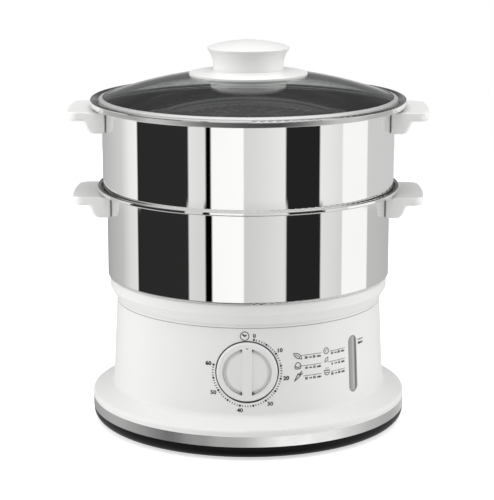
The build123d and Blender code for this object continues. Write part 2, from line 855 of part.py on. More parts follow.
def gear_face(teeth, bore, first_angle):
    """Spur gear with straight flanks, thinned by the backlash, and one tooth at first_angle."""
    pitch_radius = gear_module * teeth / 2
    tip = pitch_radius + gear_addendum * gear_module
    root = pitch_radius - gear_dedendum * gear_module
    half_tooth = (pi * gear_module / 2 - gear_backlash) / 2
    lean = tan(radians(gear_flank_angle))
    half_tip = (half_tooth - (tip - pitch_radius) * lean) / tip
    half_root = (half_tooth + (pitch_radius - root) * lean) / root
    outline = []
    for tooth in range(teeth):
        middle = radians(first_angle) + 2 * pi * tooth / teeth
        for radius, turn in ((root, -half_root), (tip, -half_tip), (tip, half_tip), (root, half_root)):
            outline.append((radius * cos(middle + turn), radius * sin(middle + turn)))
    with BuildSketch() as face:
        with BuildLine():
            Polyline(*outline, close=True)
        make_face()
        if bore:
            Circle(bore, mode=Mode.SUBTRACT)
    return face.sketch


def ratchet_face(teeth, radius, depth, lean, bore):
    """Escape wheel: pointed teeth that all lean one way."""
    outline = []
    for tooth in range(teeth):
        start = 2 * pi * tooth / teeth
        end = 2 * pi * (tooth + lean) / teeth
        outline.append((radius * cos(start), radius * sin(start)))
        outline.append(((radius - depth) * cos(end), (radius - depth) * sin(end)))
    with BuildSketch() as face:
        with BuildLine():
            Polyline(*outline, close=True)
        make_face()
        Circle(bore, mode=Mode.SUBTRACT)
    return face.sketch


bearing_radius = shaft_radius + bearing_clearance
arbor_bearing_radius = escape_arbor_radius + bearing_clearance
case_inside = case_front - timer_sheet
bell_plane = Plane(origin=(0, -case_back + timer_plate, knob_height - bell_drop), z_dir=(0, 1, 0))

with BuildPart() as timer_case:
    with BuildSketch(knob_plane(case_back)):
        Circle(timer_radius)
    extrude(amount=timer_depth)
    with BuildSketch(knob_plane(case_back)):
        Circle(timer_radius - timer_sheet)
    extrude(amount=timer_depth - timer_sheet, mode=Mode.SUBTRACT)
    with BuildSketch(knob_plane(case_inside)):
        Circle(bearing_radius)
        with Locations((0, gear_centres)):
            Circle(arbor_bearing_radius)
        with Locations((timer_screw_offset, 0), (-timer_screw_offset, 0)):
            Circle(timer_screw_shank_radius)
    extrude(amount=timer_sheet, mode=Mode.SUBTRACT)
timer_case.part.label = "timer_case"
export_step(timer_case.part, "parts/timer_case.step")

with BuildPart() as timer_back_plate:
    with BuildSketch(knob_plane(case_back)):
        Circle(timer_radius)
        Circle(bearing_radius, mode=Mode.SUBTRACT)
        with Locations((0, gear_centres)):
            Circle(arbor_bearing_radius, mode=Mode.SUBTRACT)
    extrude(amount=-timer_plate)
timer_back_plate.part.label = "timer_back_plate"
export_step(timer_back_plate.part, "parts/timer_back_plate.step")

with BuildPart() as timer_mainspring:
    with BuildSketch(knob_plane(case_inside - spring_width)):
        with BuildLine():
            for half_turn in range(2 * spring_turns):
                radius = spring_inner_radius + spring_pitch * (half_turn + 0.5) / 2
                centre = (spring_pitch / 4 * (-1) ** half_turn, 0)
                CenterArc(centre, radius, 180 * (half_turn % 2), 180)
        trace(line_width=spring_strip)
    extrude(amount=spring_width)
timer_mainspring.part.label = "timer_mainspring"
export_step(timer_mainspring.part, "parts/timer_mainspring.step")

with BuildPart() as timer_screws:
    for side in (-1, 1):
        with BuildSketch(knob_plane(recess_floor)):
            with Locations((side * timer_screw_offset, 0)):
                Circle(timer_screw_head_radius)
        extrude(amount=timer_screw_head_height)
        with BuildSketch(knob_plane(recess_floor)):
            with Locations((side * timer_screw_offset, 0)):
                Circle(timer_screw_shank_radius)
        extrude(amount=-recess_floor_thickness - timer_sheet)
timer_screws.part.label = "timer_screws"
export_step(timer_screws.part, "parts/timer_screws.step")

with BuildPart() as timer_bell:
    with BuildSketch(bell_plane):
        Circle(bell_post_radius)
    extrude(amount=bell_gap + bell_height - bell_sheet)
    with BuildSketch(bell_plane.offset(bell_gap)):
        Circle(bell_radius)
        Circle(bell_radius - bell_sheet, mode=Mode.SUBTRACT)
    extrude(amount=bell_height)
    with BuildSketch(bell_plane.offset(bell_gap + bell_height - bell_sheet)):
        Circle(bell_radius)
    extrude(amount=bell_sheet)
    fillet(edges().group_by(Axis.Y)[-1], bell_edge_round)
timer_bell.part.label = "timer_bell"
export_step(timer_bell.part, "parts/timer_bell.step")


def shaft_end_section():
    """D-shaped section shared by the shaft's end and the knob's bore."""
    with BuildSketch() as section:
        Circle(shaft_radius)
        with Locations((0, shaft_radius - shaft_flat)):
            Rectangle(
                2 * shaft_radius,
                shaft_flat,
                align=(Align.CENTER, Align.MIN),
                mode=Mode.SUBTRACT,
            )
    return section.sketch


knob_inside = knob_front - knob_front_wall
shaft_tip = knob_back + knob_hub_setback + shaft_insertion
knob_groove_inner = knob_dish_radius - knob_groove_width

# Cutter for the two D-shaped grip recesses that leave a bar across the knob's face
with BuildPart() as knob_recesses:
    with BuildSketch(Plane(origin=(0, -knob_front, knob_height), x_dir=(1, 0, 0), z_dir=(0, 0, 1))):
        with BuildLine():
            Polyline(
                (0, 0),
                (knob_dish_radius, 0),
                (knob_dish_radius, knob_groove_depth),
                (knob_groove_inner, knob_groove_depth),
                (knob_groove_inner - knob_groove_run, knob_dish_depth),
                (0, knob_dish_middle),
                close=True,
            )
        make_face()
    revolve(axis=Axis((0, -knob_front, knob_height), (0, 1, 0)))
    with BuildSketch(knob_plane(knob_front)):
        Rectangle(knob_bar_width, 2 * knob_radius)
    extrude(amount=-knob_groove_depth, mode=Mode.SUBTRACT)

with BuildPart() as timer_knob:
    with BuildSketch(knob_plane(knob_back)):
        Circle(knob_radius)
    extrude(amount=knob_front - knob_back)
    fillet(edges().group_by(Axis.Y)[0], knob_edge_round)
    # Hollow back with the hub that takes the shaft
    with BuildSketch(knob_plane(knob_back)):
        Circle(knob_radius - knob_side_wall)
    extrude(amount=knob_inside - knob_back, mode=Mode.SUBTRACT)
    with BuildSketch(knob_plane(knob_inside)):
        Circle(knob_hub_radius)
    extrude(amount=-(knob_inside - knob_back - knob_hub_setback))
    with BuildSketch(knob_plane(shaft_tip)):
        add(shaft_end_section())
    extrude(amount=-shaft_insertion, mode=Mode.SUBTRACT)
    add(knob_recesses.part, mode=Mode.SUBTRACT)
timer_knob.part.label = "timer_knob"
export_step(timer_knob.part, "parts/timer_knob.step")

with BuildPart() as timer_shaft:
    with BuildSketch(knob_plane(case_back - timer_plate)):
        Circle(shaft_radius)
    extrude(amount=shaft_tip - shaft_flat_length - case_back + timer_plate)
    with BuildSketch(knob_plane(shaft_tip)):
        add(shaft_end_section())
    extrude(amount=-shaft_flat_length)
timer_shaft.part.label = "timer_shaft"
export_step(timer_shaft.part, "parts/timer_shaft.step")

with BuildPart() as timer_drive_gear:
    with BuildSketch(knob_plane(case_front - gear_setback)):
        add(gear_face(drive_teeth, shaft_radius, 90))
    extrude(amount=-gear_width)
timer_drive_gear.part.label = "timer_drive_gear"
export_step(timer_drive_gear.part, "parts/timer_drive_gear.step")

with BuildPart() as escape_arbor:
    with BuildSketch(knob_plane(case_back - timer_plate)):
        with Locations((0, gear_centres)):
            Circle(escape_arbor_radius)
    extrude(amount=timer_depth + timer_plate)
    with BuildSketch(knob_plane(case_front - gear_setback + pinion_extra_width / 2)):
        with Locations((0, gear_centres)):
            add(gear_face(pinion_teeth, 0, 90 + 180 / pinion_teeth))
    extrude(amount=-gear_width - pinion_extra_width)
escape_arbor.part.label = "escape_arbor"
export_step(escape_arbor.part, "parts/escape_arbor.step")

with BuildPart() as escape_wheel:
    with BuildSketch(knob_plane(case_front - escape_wheel_setback)):
        with Locations((0, gear_centres)):
            add(
                ratchet_face(
                    escape_wheel_teeth,
                    escape_wheel_radius,
                    escape_tooth_depth,
                    escape_tooth_lean,
                    escape_arbor_radius,
                )
            )
    extrude(amount=-escape_wheel_thickness)
escape_wheel.part.label = "escape_wheel"
export_step(escape_wheel.part, "parts/escape_wheel.step")

# ---------------------------------------------------------------------------------------------
# Turbo ring and drip tray
# ---------------------------------------------------------------------------------------------

with BuildPart() as turbo_ring:
    revolve(
        ring_section(turbo_radius - turbo_wall, turbo_radius, tank_z, tank_z + turbo_height),
        axis=Axis.Z,
    )
    revolve(
        ring_section(
            turbo_radius - turbo_wall,
            turbo_radius + turbo_foot_width,
            tank_z,
            tank_z + turbo_foot_thickness,
        ),
        axis=Axis.Z,
    )
    with BuildSketch(Plane.XY.offset(tank_z)):
        with PolarLocations(turbo_radius, turbo_notch_count, start_angle=screw_angle):
            Rectangle(4 * turbo_foot_width, turbo_notch_width)
    extrude(amount=turbo_notch_height, mode=Mode.SUBTRACT)
turbo_ring.part.label = "turbo_ring"
export_step(turbo_ring.part, "parts/turbo_ring.step")

register_outer = tank_top_radius - tray_register_gap
sump_z = seam_z - tray_sump_depth
sump_outer_radius = pocket_back - tray_sump_gap

tray_skirt_inner = tray_skirt_radius - tray_wall
tray_rim_inner = tray_rim_radius - tray_wall
sump_inner_radius = sump_outer_radius - tray_wall

# The tray is one moulding, held as three solids that meet face to face: the dish with its sump,
# the flared rim and the chimney.
with BuildPart() as drip_tray:
    with BuildSketch(Plane.XZ):
        with BuildLine():
            Polyline(
                (tray_chimney_bore, sump_z),
                (sump_outer_radius, sump_z),
                (sump_outer_radius, seam_z),
                (tray_skirt_radius, seam_z),
                (tray_skirt_radius, tray_cone_z),
                (tray_skirt_inner, tray_cone_z),
                (tray_skirt_inner, seam_z + tray_wall),
                (sump_inner_radius, seam_z + tray_wall),
                (sump_inner_radius, sump_z + tray_wall),
                (tray_chimney_bore, sump_z + tray_wall),
                close=True,
            )
        make_face()
        fillet(near(sump_outer_radius, sump_z), tray_sump_round)
        fillet(near(tray_skirt_radius, seam_z), tray_foot_round)
        fillet(near(sump_inner_radius, sump_z + tray_wall), tray_fillet)
        fillet(near(sump_inner_radius, seam_z + tray_wall), tray_fillet)
    revolve(axis=Axis.Z)
    revolve(
        ring_section(register_outer - tray_wall, register_outer, seam_z - tray_register_depth, seam_z),
        axis=Axis.Z,
    )
drip_tray.part.label = "drip_tray"
export_step(drip_tray.part, "parts/drip_tray.step")

with BuildPart() as drip_tray_rim:
    with BuildSketch(Plane.XZ):
        with BuildLine():
            Polyline(
                (tray_skirt_inner, tray_cone_z),
                (tray_skirt_radius, tray_cone_z),
                (tray_rim_radius, tray_band_z),
                (tray_rim_radius, tray_rim_z),
                (tray_rim_inner, tray_rim_z),
                (tray_rim_inner, tray_band_z),
                close=True,
            )
        make_face()
        fillet(near(tray_rim_radius, tray_band_z), tray_kink_round)
        fillet(near(tray_rim_inner, tray_band_z), tray_kink_round)
    revolve(axis=Axis.Z)
drip_tray_rim.part.label = "drip_tray_rim"
export_step(drip_tray_rim.part, "parts/drip_tray_rim.step")

with BuildPart() as drip_tray_chimney:
    revolve(
        ring_section(
            tray_chimney_bore,
            tray_chimney_bore + tray_wall,
            sump_z + tray_wall,
            sump_z + tray_chimney_height,
        ),
        axis=Axis.Z,
    )
drip_tray_chimney.part.label = "drip_tray_chimney"
export_step(drip_tray_chimney.part, "parts/drip_tray_chimney.step")

# ---------------------------------------------------------------------------------------------
# Bowls, grids and handles.  The two tiers differ in radius, height and rim only.
# ---------------------------------------------------------------------------------------------

lower_foot_radius = tray_rim_radius - tray_wall - lower_foot_gap
upper_foot_radius = lower_bowl_radius - bowl_sheet - upper_foot_gap


def bowl_shell(wall, foot, shoulder, ledge, ledge_width, rim_rise, rim_flare, hem_drop, hem_lean):
    """Spun steel bowl: grid flange, foot ring, shoulder, wall, ledge and a hemmed flared rim."""
    ledge_under = ledge - bowl_sheet
    flare_start = wall + ledge_width
    return sheet_section(
        [
            (foot - bowl_flange_width, shoulder - bowl_foot_depth),
            (foot, shoulder - bowl_foot_depth),
            (foot, shoulder),
            (wall, shoulder),
            (wall, ledge_under),
            (flare_start, ledge_under),
            (flare_start + rim_flare, ledge_under + rim_rise),
            (flare_start + rim_flare - hem_lean, ledge_under + rim_rise - hem_drop),
        ],
        [
            bowl_foot_bend,
            bowl_tight_bend,
            bowl_foot_bend,
            bowl_tight_bend,
            bowl_rim_bend,
            bowl_hem_bend,
        ],
        bowl_sheet,
    )


def screw_face(wall):
    """Distance from the axis at which a screw head's flat face meets the bowl's curved inside."""
    return sqrt((wall - bowl_sheet) ** 2 - (handle_screw_spacing / 2 + handle_screw_head_radius) ** 2)


def handle_solid(wall, tab_top):
    """Right-hand handle: a tab on a tapered block, hollowed to the bowl's wall."""
    outer = wall + handle_reach
    tab_low = tab_top - handle_tab
    low = tab_top - handle_height
    inner = wall - handle_gap - handle_half_width**2 / wall
    end_x = sqrt(wall**2 - handle_half_width**2)
    with BuildPart() as handle:
        # Side view
        with BuildSketch(Plane.XZ):
            with BuildLine():
                Polyline(
                    (inner, tab_top),
                    (outer, tab_top),
                    (outer, tab_low),
                    (wall + handle_block_top, tab_low),
                    (wall + handle_block_bottom, low),
                    (inner, low),
                    close=True,
                )
            make_face()
            fillet(near(wall + handle_block_top, tab_low), handle_block_fillet)
            fillet(near(wall + handle_block_bottom, low), handle_block_round)
        extrude(amount=handle_half_width, both=True)
        # Plan view, hollowed to the bowl's wall
        with BuildSketch(Plane.XY.offset(low)):
            with BuildLine():
                ThreePointArc(
                    (outer - handle_bulge, -handle_half_width),
                    (outer, 0),
                    (outer - handle_bulge, handle_half_width),
                )
                Polyline(
                    (outer - handle_bulge, handle_half_width),
                    (inner, handle_half_width),
                    (inner, -handle_half_width),
                    (outer - handle_bulge, -handle_half_width),
                )
            make_face()
            fillet(vertices().group_by(Axis.X)[-1], handle_corner)
            Circle(wall, mode=Mode.SUBTRACT)
            for side in (-1, 1):
                fillet(near(end_x, side * handle_half_width), handle_end_round)
        extrude(amount=handle_height, mode=Mode.INTERSECT)
        fillet(edges().group_by(Axis.Z)[-1], handle_top_round)
        rim = edges().filter_by(GeomType.CIRCLE).filter_by(
            lambda edge: edge.center().X > outer - handle_corner - handle_bulge
        )
        fillet(rim.group_by(Axis.Z)[0], handle_edge_round)
        # Screw holes
        with BuildSketch(Plane.YZ.offset(screw_face(wall))):
            with Locations((0, tab_top - handle_screw_drop)):
                with GridLocations(handle_screw_spacing, 0, 2, 1):
                    Circle(handle_screw_shank_radius)
        extrude(amount=handle_screw_bite, mode=Mode.SUBTRACT)
    return handle.part


for tier, wall, foot, shoulder, ledge, ledge_width, rim_rise, rim_flare, hem_drop, hem_lean in (
    ("lower", lower_bowl_radius, lower_foot_radius, tray_rim_z, lower_ledge_z, lower_ledge_width,
     lower_rim_rise, lower_rim_flare, lower_hem_drop, lower_hem_lean),
    ("upper", upper_bowl_radius, upper_foot_radius, lower_ledge_z, upper_ledge_z, upper_ledge_width,
     upper_rim_rise, upper_rim_flare, upper_hem_drop, upper_hem_lean),
):
    tab_top = ledge - bowl_sheet + rim_rise - hem_drop - handle_gap
    screw_z = tab_top - handle_screw_drop

    with BuildPart() as bowl:
        revolve(
            bowl_shell(wall, foot, shoulder, ledge, ledge_width, rim_rise, rim_flare, hem_drop, hem_lean),
            axis=Axis.Z,
        )
        with BuildSketch(Plane.YZ.offset(-wall)):
            with Locations((0, screw_z)):
                with GridLocations(handle_screw_spacing, 0, 2, 1):
                    Circle(handle_screw_shank_radius + screw_hole_clearance)
        extrude(amount=2 * wall, mode=Mode.SUBTRACT)
    bowl.part.label = f"{tier}_bowl"
    export_step(bowl.part, f"parts/{tier}_bowl.step")

    grid_radius = foot - bowl_sheet - grid_gap
    grid_z = shoulder - bowl_foot_depth + bowl_sheet
    with BuildPart() as grid:
        with BuildSketch(Plane.XY.offset(grid_z)):
            Circle(grid_radius)
            for count, start, end in (
                (grid_inner_slots, grid_inner_start, grid_inner_end),
                (grid_outer_slots, grid_outer_start, grid_radius - grid_slot_margin),
            ):
                with PolarLocations((start + end) / 2, count):
                    SlotOverall(end - start, grid_slot_width, mode=Mode.SUBTRACT)
        extrude(amount=grid_sheet)
        with BuildSketch(Plane.XY.offset(grid_z)):
            Circle(grid_radius)
            Circle(grid_radius - grid_rim_width, mode=Mode.SUBTRACT)
        extrude(amount=grid_rim_height)
    grid.part.label = f"{tier}_grid"
    export_step(grid.part, f"parts/{tier}_grid.step")

    right_handle = handle_solid(wall, tab_top)
    for side, handle in (("right", right_handle), ("left", mirror(right_handle, about=Plane.YZ))):
        handle.label = f"{tier}_{side}_handle"
        export_step(handle, f"parts/{tier}_{side}_handle.step")

    # Pan-head screws put in from inside the bowl
    with BuildPart() as handle_screws:
        for direction in (-1, 1):
            with BuildSketch(Plane.YZ.offset(direction * screw_face(wall))):
                with Locations((0, screw_z)):
                    with GridLocations(handle_screw_spacing, 0, 2, 1):
                        Circle(handle_screw_head_radius)
            extrude(amount=-direction * handle_screw_head_height)
            with BuildSketch(Plane.YZ.offset(direction * screw_face(wall))):
                with Locations((0, screw_z)):
                    with GridLocations(handle_screw_spacing, 0, 2, 1):
                        Circle(handle_screw_shank_radius)
            extrude(amount=direction * handle_screw_bite)
    handle_screws.part.label = f"{tier}_handle_screws"
    export_step(handle_screws.part, f"parts/{tier}_handle_screws.step")

# ---------------------------------------------------------------------------------------------
# Lid: domed glass in a steel band, with a knob on a round base
# ---------------------------------------------------------------------------------------------

lid_radius = upper_bowl_radius + upper_ledge_width - lid_gap - bowl_sheet / 2
lid_z = upper_ledge_z
lid_top_z = lid_z + lid_band_height


def sphere_drop(r, sphere):
    """Fall of a spherical cap from its crown at a radius."""
    return sphere - sqrt(sphere**2 - r**2)


glass_edge_radius = lid_radius - glass_edge_gap
band_slope = glass_edge_radius / sqrt(glass_sphere_radius**2 - glass_edge_radius**2)
band_top_drop = lid_band_sheet * sqrt(1 + band_slope**2)
glass_crown_z = (
    lid_top_z
    + glass_edge_gap * band_slope
    - band_top_drop
    + sphere_drop(glass_edge_radius, glass_sphere_radius)
)
glass_inside_sphere = glass_sphere_radius - glass_thickness
glass_inside_crown_z = glass_crown_z - glass_thickness


def glass_top(r):
    """Height of the glass's upper surface."""
    return glass_crown_z - sphere_drop(r, glass_sphere_radius)


def glass_under(r):
    """Height of the glass's lower surface."""
    return glass_inside_crown_z - sphere_drop(r, glass_inside_sphere)


with BuildPart() as lid_glass:
    with BuildSketch(Plane.XZ):
        with BuildLine():
            ThreePointArc(
                (glass_hole_radius, glass_top(glass_hole_radius)),
                (glass_edge_radius / 2, glass_top(glass_edge_radius / 2)),
                (glass_edge_radius, glass_top(glass_edge_radius)),
            )
            Line(
                (glass_edge_radius, glass_top(glass_edge_radius)),
                (glass_edge_radius, glass_under(glass_edge_radius)),
            )
            ThreePointArc(
                (glass_edge_radius, glass_under(glass_edge_radius)),
                (glass_edge_radius / 2, glass_under(glass_edge_radius / 2)),
                (glass_hole_radius, glass_under(glass_hole_radius)),
            )
            Line(
                (glass_hole_radius, glass_under(glass_hole_radius)),
                (glass_hole_radius, glass_top(glass_hole_radius)),
            )
        make_face()
    revolve(axis=Axis.Z)
lid_glass.part.label = "lid_glass"
export_step(lid_glass.part, "parts/lid_glass.step")

with BuildPart() as lid_band:
    revolve(
        sheet_section(
            [
                (lid_radius - lid_band_bottom_width, lid_z),
                (lid_radius, lid_z),
                (lid_radius, lid_top_z),
                (lid_radius - lid_band_top_width, lid_top_z + lid_band_top_width * band_slope),
            ],
            [lid_band_bend, lid_band_bend],
            lid_band_sheet,
        ),
        axis=Axis.Z,
    )
lid_band.part.label = "lid_band"
export_step(lid_band.part, "parts/lid_band.step")

gasket_outer = lid_radius - lid_band_sheet - gasket_clearance

with BuildPart() as lid_gasket:
    revolve(
        ring_section(
            glass_edge_radius,
            gasket_outer,
            lid_z + lid_band_sheet + gasket_clearance,
            lid_top_z - lid_band_sheet - gasket_clearance,
        ),
        axis=Axis.Z,
    )
lid_gasket.part.label = "lid_gasket"
export_step(lid_gasket.part, "parts/lid_gasket.step")

knob_seat_z = glass_crown_z + knob_base_rise
washer_low_z = glass_inside_crown_z - washer_height

with BuildPart() as lid_knob_base:
    with BuildSketch(Plane.XZ):
        with BuildLine():
            ThreePointArc(
                (lid_screw_radius, glass_top(lid_screw_radius)),
                (knob_base_radius / 2, glass_top(knob_base_radius / 2)),
                (knob_base_radius, glass_top(knob_base_radius)),
            )
            Polyline(
                (knob_base_radius, glass_top(knob_base_radius)),
                (knob_base_radius, glass_top(knob_base_radius) + knob_base_edge),
                (lid_knob_foot_radius, knob_seat_z),
                (lid_screw_radius, knob_seat_z),
                (lid_screw_radius, glass_top(lid_screw_radius)),
            )
        make_face()
    revolve(axis=Axis.Z)
lid_knob_base.part.label = "lid_knob_base"
export_step(lid_knob_base.part, "parts/lid_knob_base.step")

with BuildPart() as lid_knob_washer:
    with BuildSketch(Plane.XZ):
        with BuildLine():
            ThreePointArc(
                (lid_screw_radius, glass_under(lid_screw_radius)),
                (washer_radius / 2, glass_under(washer_radius / 2)),
                (washer_radius, glass_under(washer_radius)),
            )
            Polyline(
                (washer_radius, glass_under(washer_radius)),
                (washer_radius, washer_low_z),
                (lid_screw_head_radius + screw_head_clearance, washer_low_z),
                (lid_screw_head_radius + screw_head_clearance, washer_low_z + lid_screw_recess),
                (lid_screw_radius, washer_low_z + lid_screw_recess),
                (lid_screw_radius, glass_under(lid_screw_radius)),
            )
        make_face()
    revolve(axis=Axis.Z)
lid_knob_washer.part.label = "lid_knob_washer"
export_step(lid_knob_washer.part, "parts/lid_knob_washer.step")

flare_z = knob_seat_z + lid_knob_neck
edge_z = flare_z + lid_knob_flare
crown_z = edge_z + lid_knob_edge + lid_knob_crown
screw_top_z = knob_seat_z + lid_screw_bite

with BuildPart() as lid_knob:
    with BuildSketch(Plane.XZ):
        with BuildLine():
            Polyline(
                (lid_knob_radius, edge_z + lid_knob_edge),
                (lid_knob_radius, edge_z),
            )
            TangentArc(
                (lid_knob_foot_radius, flare_z), (lid_knob_radius, edge_z), tangent=(0, 1)
            )
            Polyline(
                (lid_knob_foot_radius, flare_z),
                (lid_knob_foot_radius, knob_seat_z),
                (lid_screw_radius, knob_seat_z),
                (lid_screw_radius, screw_top_z),
                (0, screw_top_z),
                (0, crown_z),
            )
            TangentArc((0, crown_z), (lid_knob_radius, edge_z + lid_knob_edge), tangent=(1, 0))
        make_face()
        fillet(near(lid_knob_radius, edge_z + lid_knob_edge), lid_knob_edge_round)
        fillet(near(lid_knob_radius, edge_z), lid_knob_edge_round)
    revolve(axis=Axis.Z)
lid_knob.part.label = "lid_knob"
export_step(lid_knob.part, "parts/lid_knob.step")

screw_seat_z = washer_low_z + lid_screw_recess

with BuildPart() as lid_knob_screw:
    with BuildSketch(Plane.XY.offset(screw_seat_z - lid_screw_head_height)):
        Circle(lid_screw_head_radius)
    extrude(amount=lid_screw_head_height)
    with BuildSketch(Plane.XY.offset(screw_seat_z)):
        Circle(lid_screw_radius)
    extrude(amount=screw_top_z - screw_seat_z)
lid_knob_screw.part.label = "lid_knob_screw"
export_step(lid_knob_screw.part, "parts/lid_knob_screw.step")
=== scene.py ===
from math import asin, atan, atan2, ceil, cos, degrees, hypot, pi, radians, sin

import bmesh
import bpy
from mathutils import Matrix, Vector


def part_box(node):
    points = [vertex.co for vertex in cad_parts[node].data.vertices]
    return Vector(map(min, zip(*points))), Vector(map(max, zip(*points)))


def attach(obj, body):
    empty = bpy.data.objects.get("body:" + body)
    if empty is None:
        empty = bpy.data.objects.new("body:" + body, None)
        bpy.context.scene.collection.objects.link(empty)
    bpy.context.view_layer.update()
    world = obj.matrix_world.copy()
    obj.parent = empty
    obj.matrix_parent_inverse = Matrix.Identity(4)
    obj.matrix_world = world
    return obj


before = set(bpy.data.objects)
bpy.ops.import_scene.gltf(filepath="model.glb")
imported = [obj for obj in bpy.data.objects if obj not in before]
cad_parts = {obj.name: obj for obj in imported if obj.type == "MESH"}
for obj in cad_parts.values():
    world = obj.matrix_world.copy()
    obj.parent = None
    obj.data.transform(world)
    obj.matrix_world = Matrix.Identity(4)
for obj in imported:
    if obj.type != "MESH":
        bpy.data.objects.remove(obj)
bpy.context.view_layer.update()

# Electric food steamer: finishes, printed marks, camera and studio.  Metres, in the CAD frame,
# but the printed marks are given in millimetres.

MM = 0.001

# ---------------------------------------------------------------------------------------------
# Sizes read from the frame
# ---------------------------------------------------------------------------------------------

WALL_SLOPE = 3.4 / 69.6     # draft of the housing's wall
RIM_ROUND = 0.5 * MM        # of the housing's top edge
DRUM_MARGIN = 0.2           # share of a bowl's height, at each end, that isn't its plain wall


def reach(node, low, high):
    """Largest distance from the steamer's axis of a node's vertices between two heights."""
    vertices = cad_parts[node].data.vertices
    return max(hypot(v.co.x, v.co.y) for v in vertices if low <= v.co.z <= high)


def drum_radius(node):
    """Radius of a bowl's plain wall."""
    low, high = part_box(node)
    margin = DRUM_MARGIN * (high.z - low.z)
    return reach(node, low.z + margin, high.z - margin)


seam_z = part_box("base_housing")[1].z
knob_low, knob_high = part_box("timer_knob")
knob_z = (knob_low.z + knob_high.z) / 2
gauge_low, gauge_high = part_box("gauge_gasket")
gauge_middle = (gauge_low + gauge_high) / 2
gauge_azimuth = atan2(gauge_middle.x, -gauge_middle.y)
wall_top_radius = reach("base_housing", seam_z - 2 * RIM_ROUND, seam_z) - RIM_ROUND * WALL_SLOPE


def wall_radius(z):
    """Outside radius of the housing's tapered wall at a height."""
    return wall_top_radius + (seam_z - z) * WALL_SLOPE


# ---------------------------------------------------------------------------------------------
# Materials
# ---------------------------------------------------------------------------------------------

COLOUR_A, COLOUR_B, COLOUR_RESULT = 6, 7, 2     # sockets of a Mix node that mixes colours
BLOTCH_LOW, BLOTCH_HIGH = 0.3, 0.7              # noise between which a colour's shade changes
ROUGHNESS_FINENESS = 3                          # of the roughness's noise, against the shade's
CREASE_SAMPLES = 12
EDGE_SAMPLES = 8


def tone(level):
    """Linear value of a display grey from 0 to 255."""
    share = level / 255
    return share / 12.92 if share <= 0.04045 else ((share + 0.055) / 1.055) ** 2.4


def grey(level):
    """Linear colour of a display grey from 0 to 255."""
    return (tone(level),) * 3


class Nodes:
    """Short calls for building a node tree."""

    def __init__(self, tree):
        self.tree = tree
        tree.nodes.clear()

    def feed(self, socket, value):
        """Gives an input a value, or links it to an output."""
        if isinstance(value, bpy.types.NodeSocket):
            self.tree.links.new(value, socket)
        else:
            socket.default_value = value

    def add(self, kind, inputs=None, **settings):
        node = self.tree.nodes.new(kind)
        for name, value in settings.items():
            setattr(node, name, value)
        for socket, value in (inputs or {}).items():
            self.feed(node.inputs[socket], value)
        return node

    def math(self, operation, *values):
        return self.add("ShaderNodeMath", dict(enumerate(values)), operation=operation).outputs[0]

    def noise(self, scale, detail=2.0, vector=None):
        """Noise over the object's own coordinates, in metres, or over another vector."""
        texture = self.add(
            "ShaderNodeTexNoise",
            {
                "Vector": vector or self.add("ShaderNodeTexCoord").outputs["Object"],
                "Scale": scale,
                "Detail": detail,
            },
        )
        return texture.outputs["Fac"]

    def spread(self, value, low, high):
        """A 0-to-1 value moved to a range."""
        node = self.add("ShaderNodeMapRange", {"Value": value, "To Min": low, "To Max": high})
        return node.outputs[0]

    def share(self, value, low, high):
        """Where a value lies in a range, from 0 to 1."""
        node = self.add("ShaderNodeMapRange", {"Value": value, "From Min": low, "From Max": high})
        return node.outputs[0]

    def ramp(self, factor, stops):
        """Colour ramp with (position, colour) stops."""
        node = self.add("ShaderNodeValToRGB", {"Fac": factor})
        elements = node.color_ramp.elements
        elements.remove(elements[1])
        elements[0].position = stops[0][0]
        elements[0].color = (*stops[0][1], 1)
        for position, colour in stops[1:]:
            elements.new(position).color = (*colour, 1)
        return node.outputs[0]

    def mix(self, factor, first, second, blend_type="MIX"):
        """Mix of two colours."""
        node = self.add(
            "ShaderNodeMix",
            {"Factor": factor, COLOUR_A: first, COLOUR_B: second},
            data_type="RGBA",
            blend_type=blend_type,
        )
        return node.outputs[COLOUR_RESULT]

    def choose(self, factor, off, on):
        """Mix of two shaders."""
        return self.add("ShaderNodeMixShader", {0: factor, 1: off, 2: on}).outputs[0]

    def switch(self, value, edge, softness, below, above):
        """Colour that changes from one to another where a value passes an edge."""
        return self.mix(self.share(value, edge - softness, edge + softness), below, above)


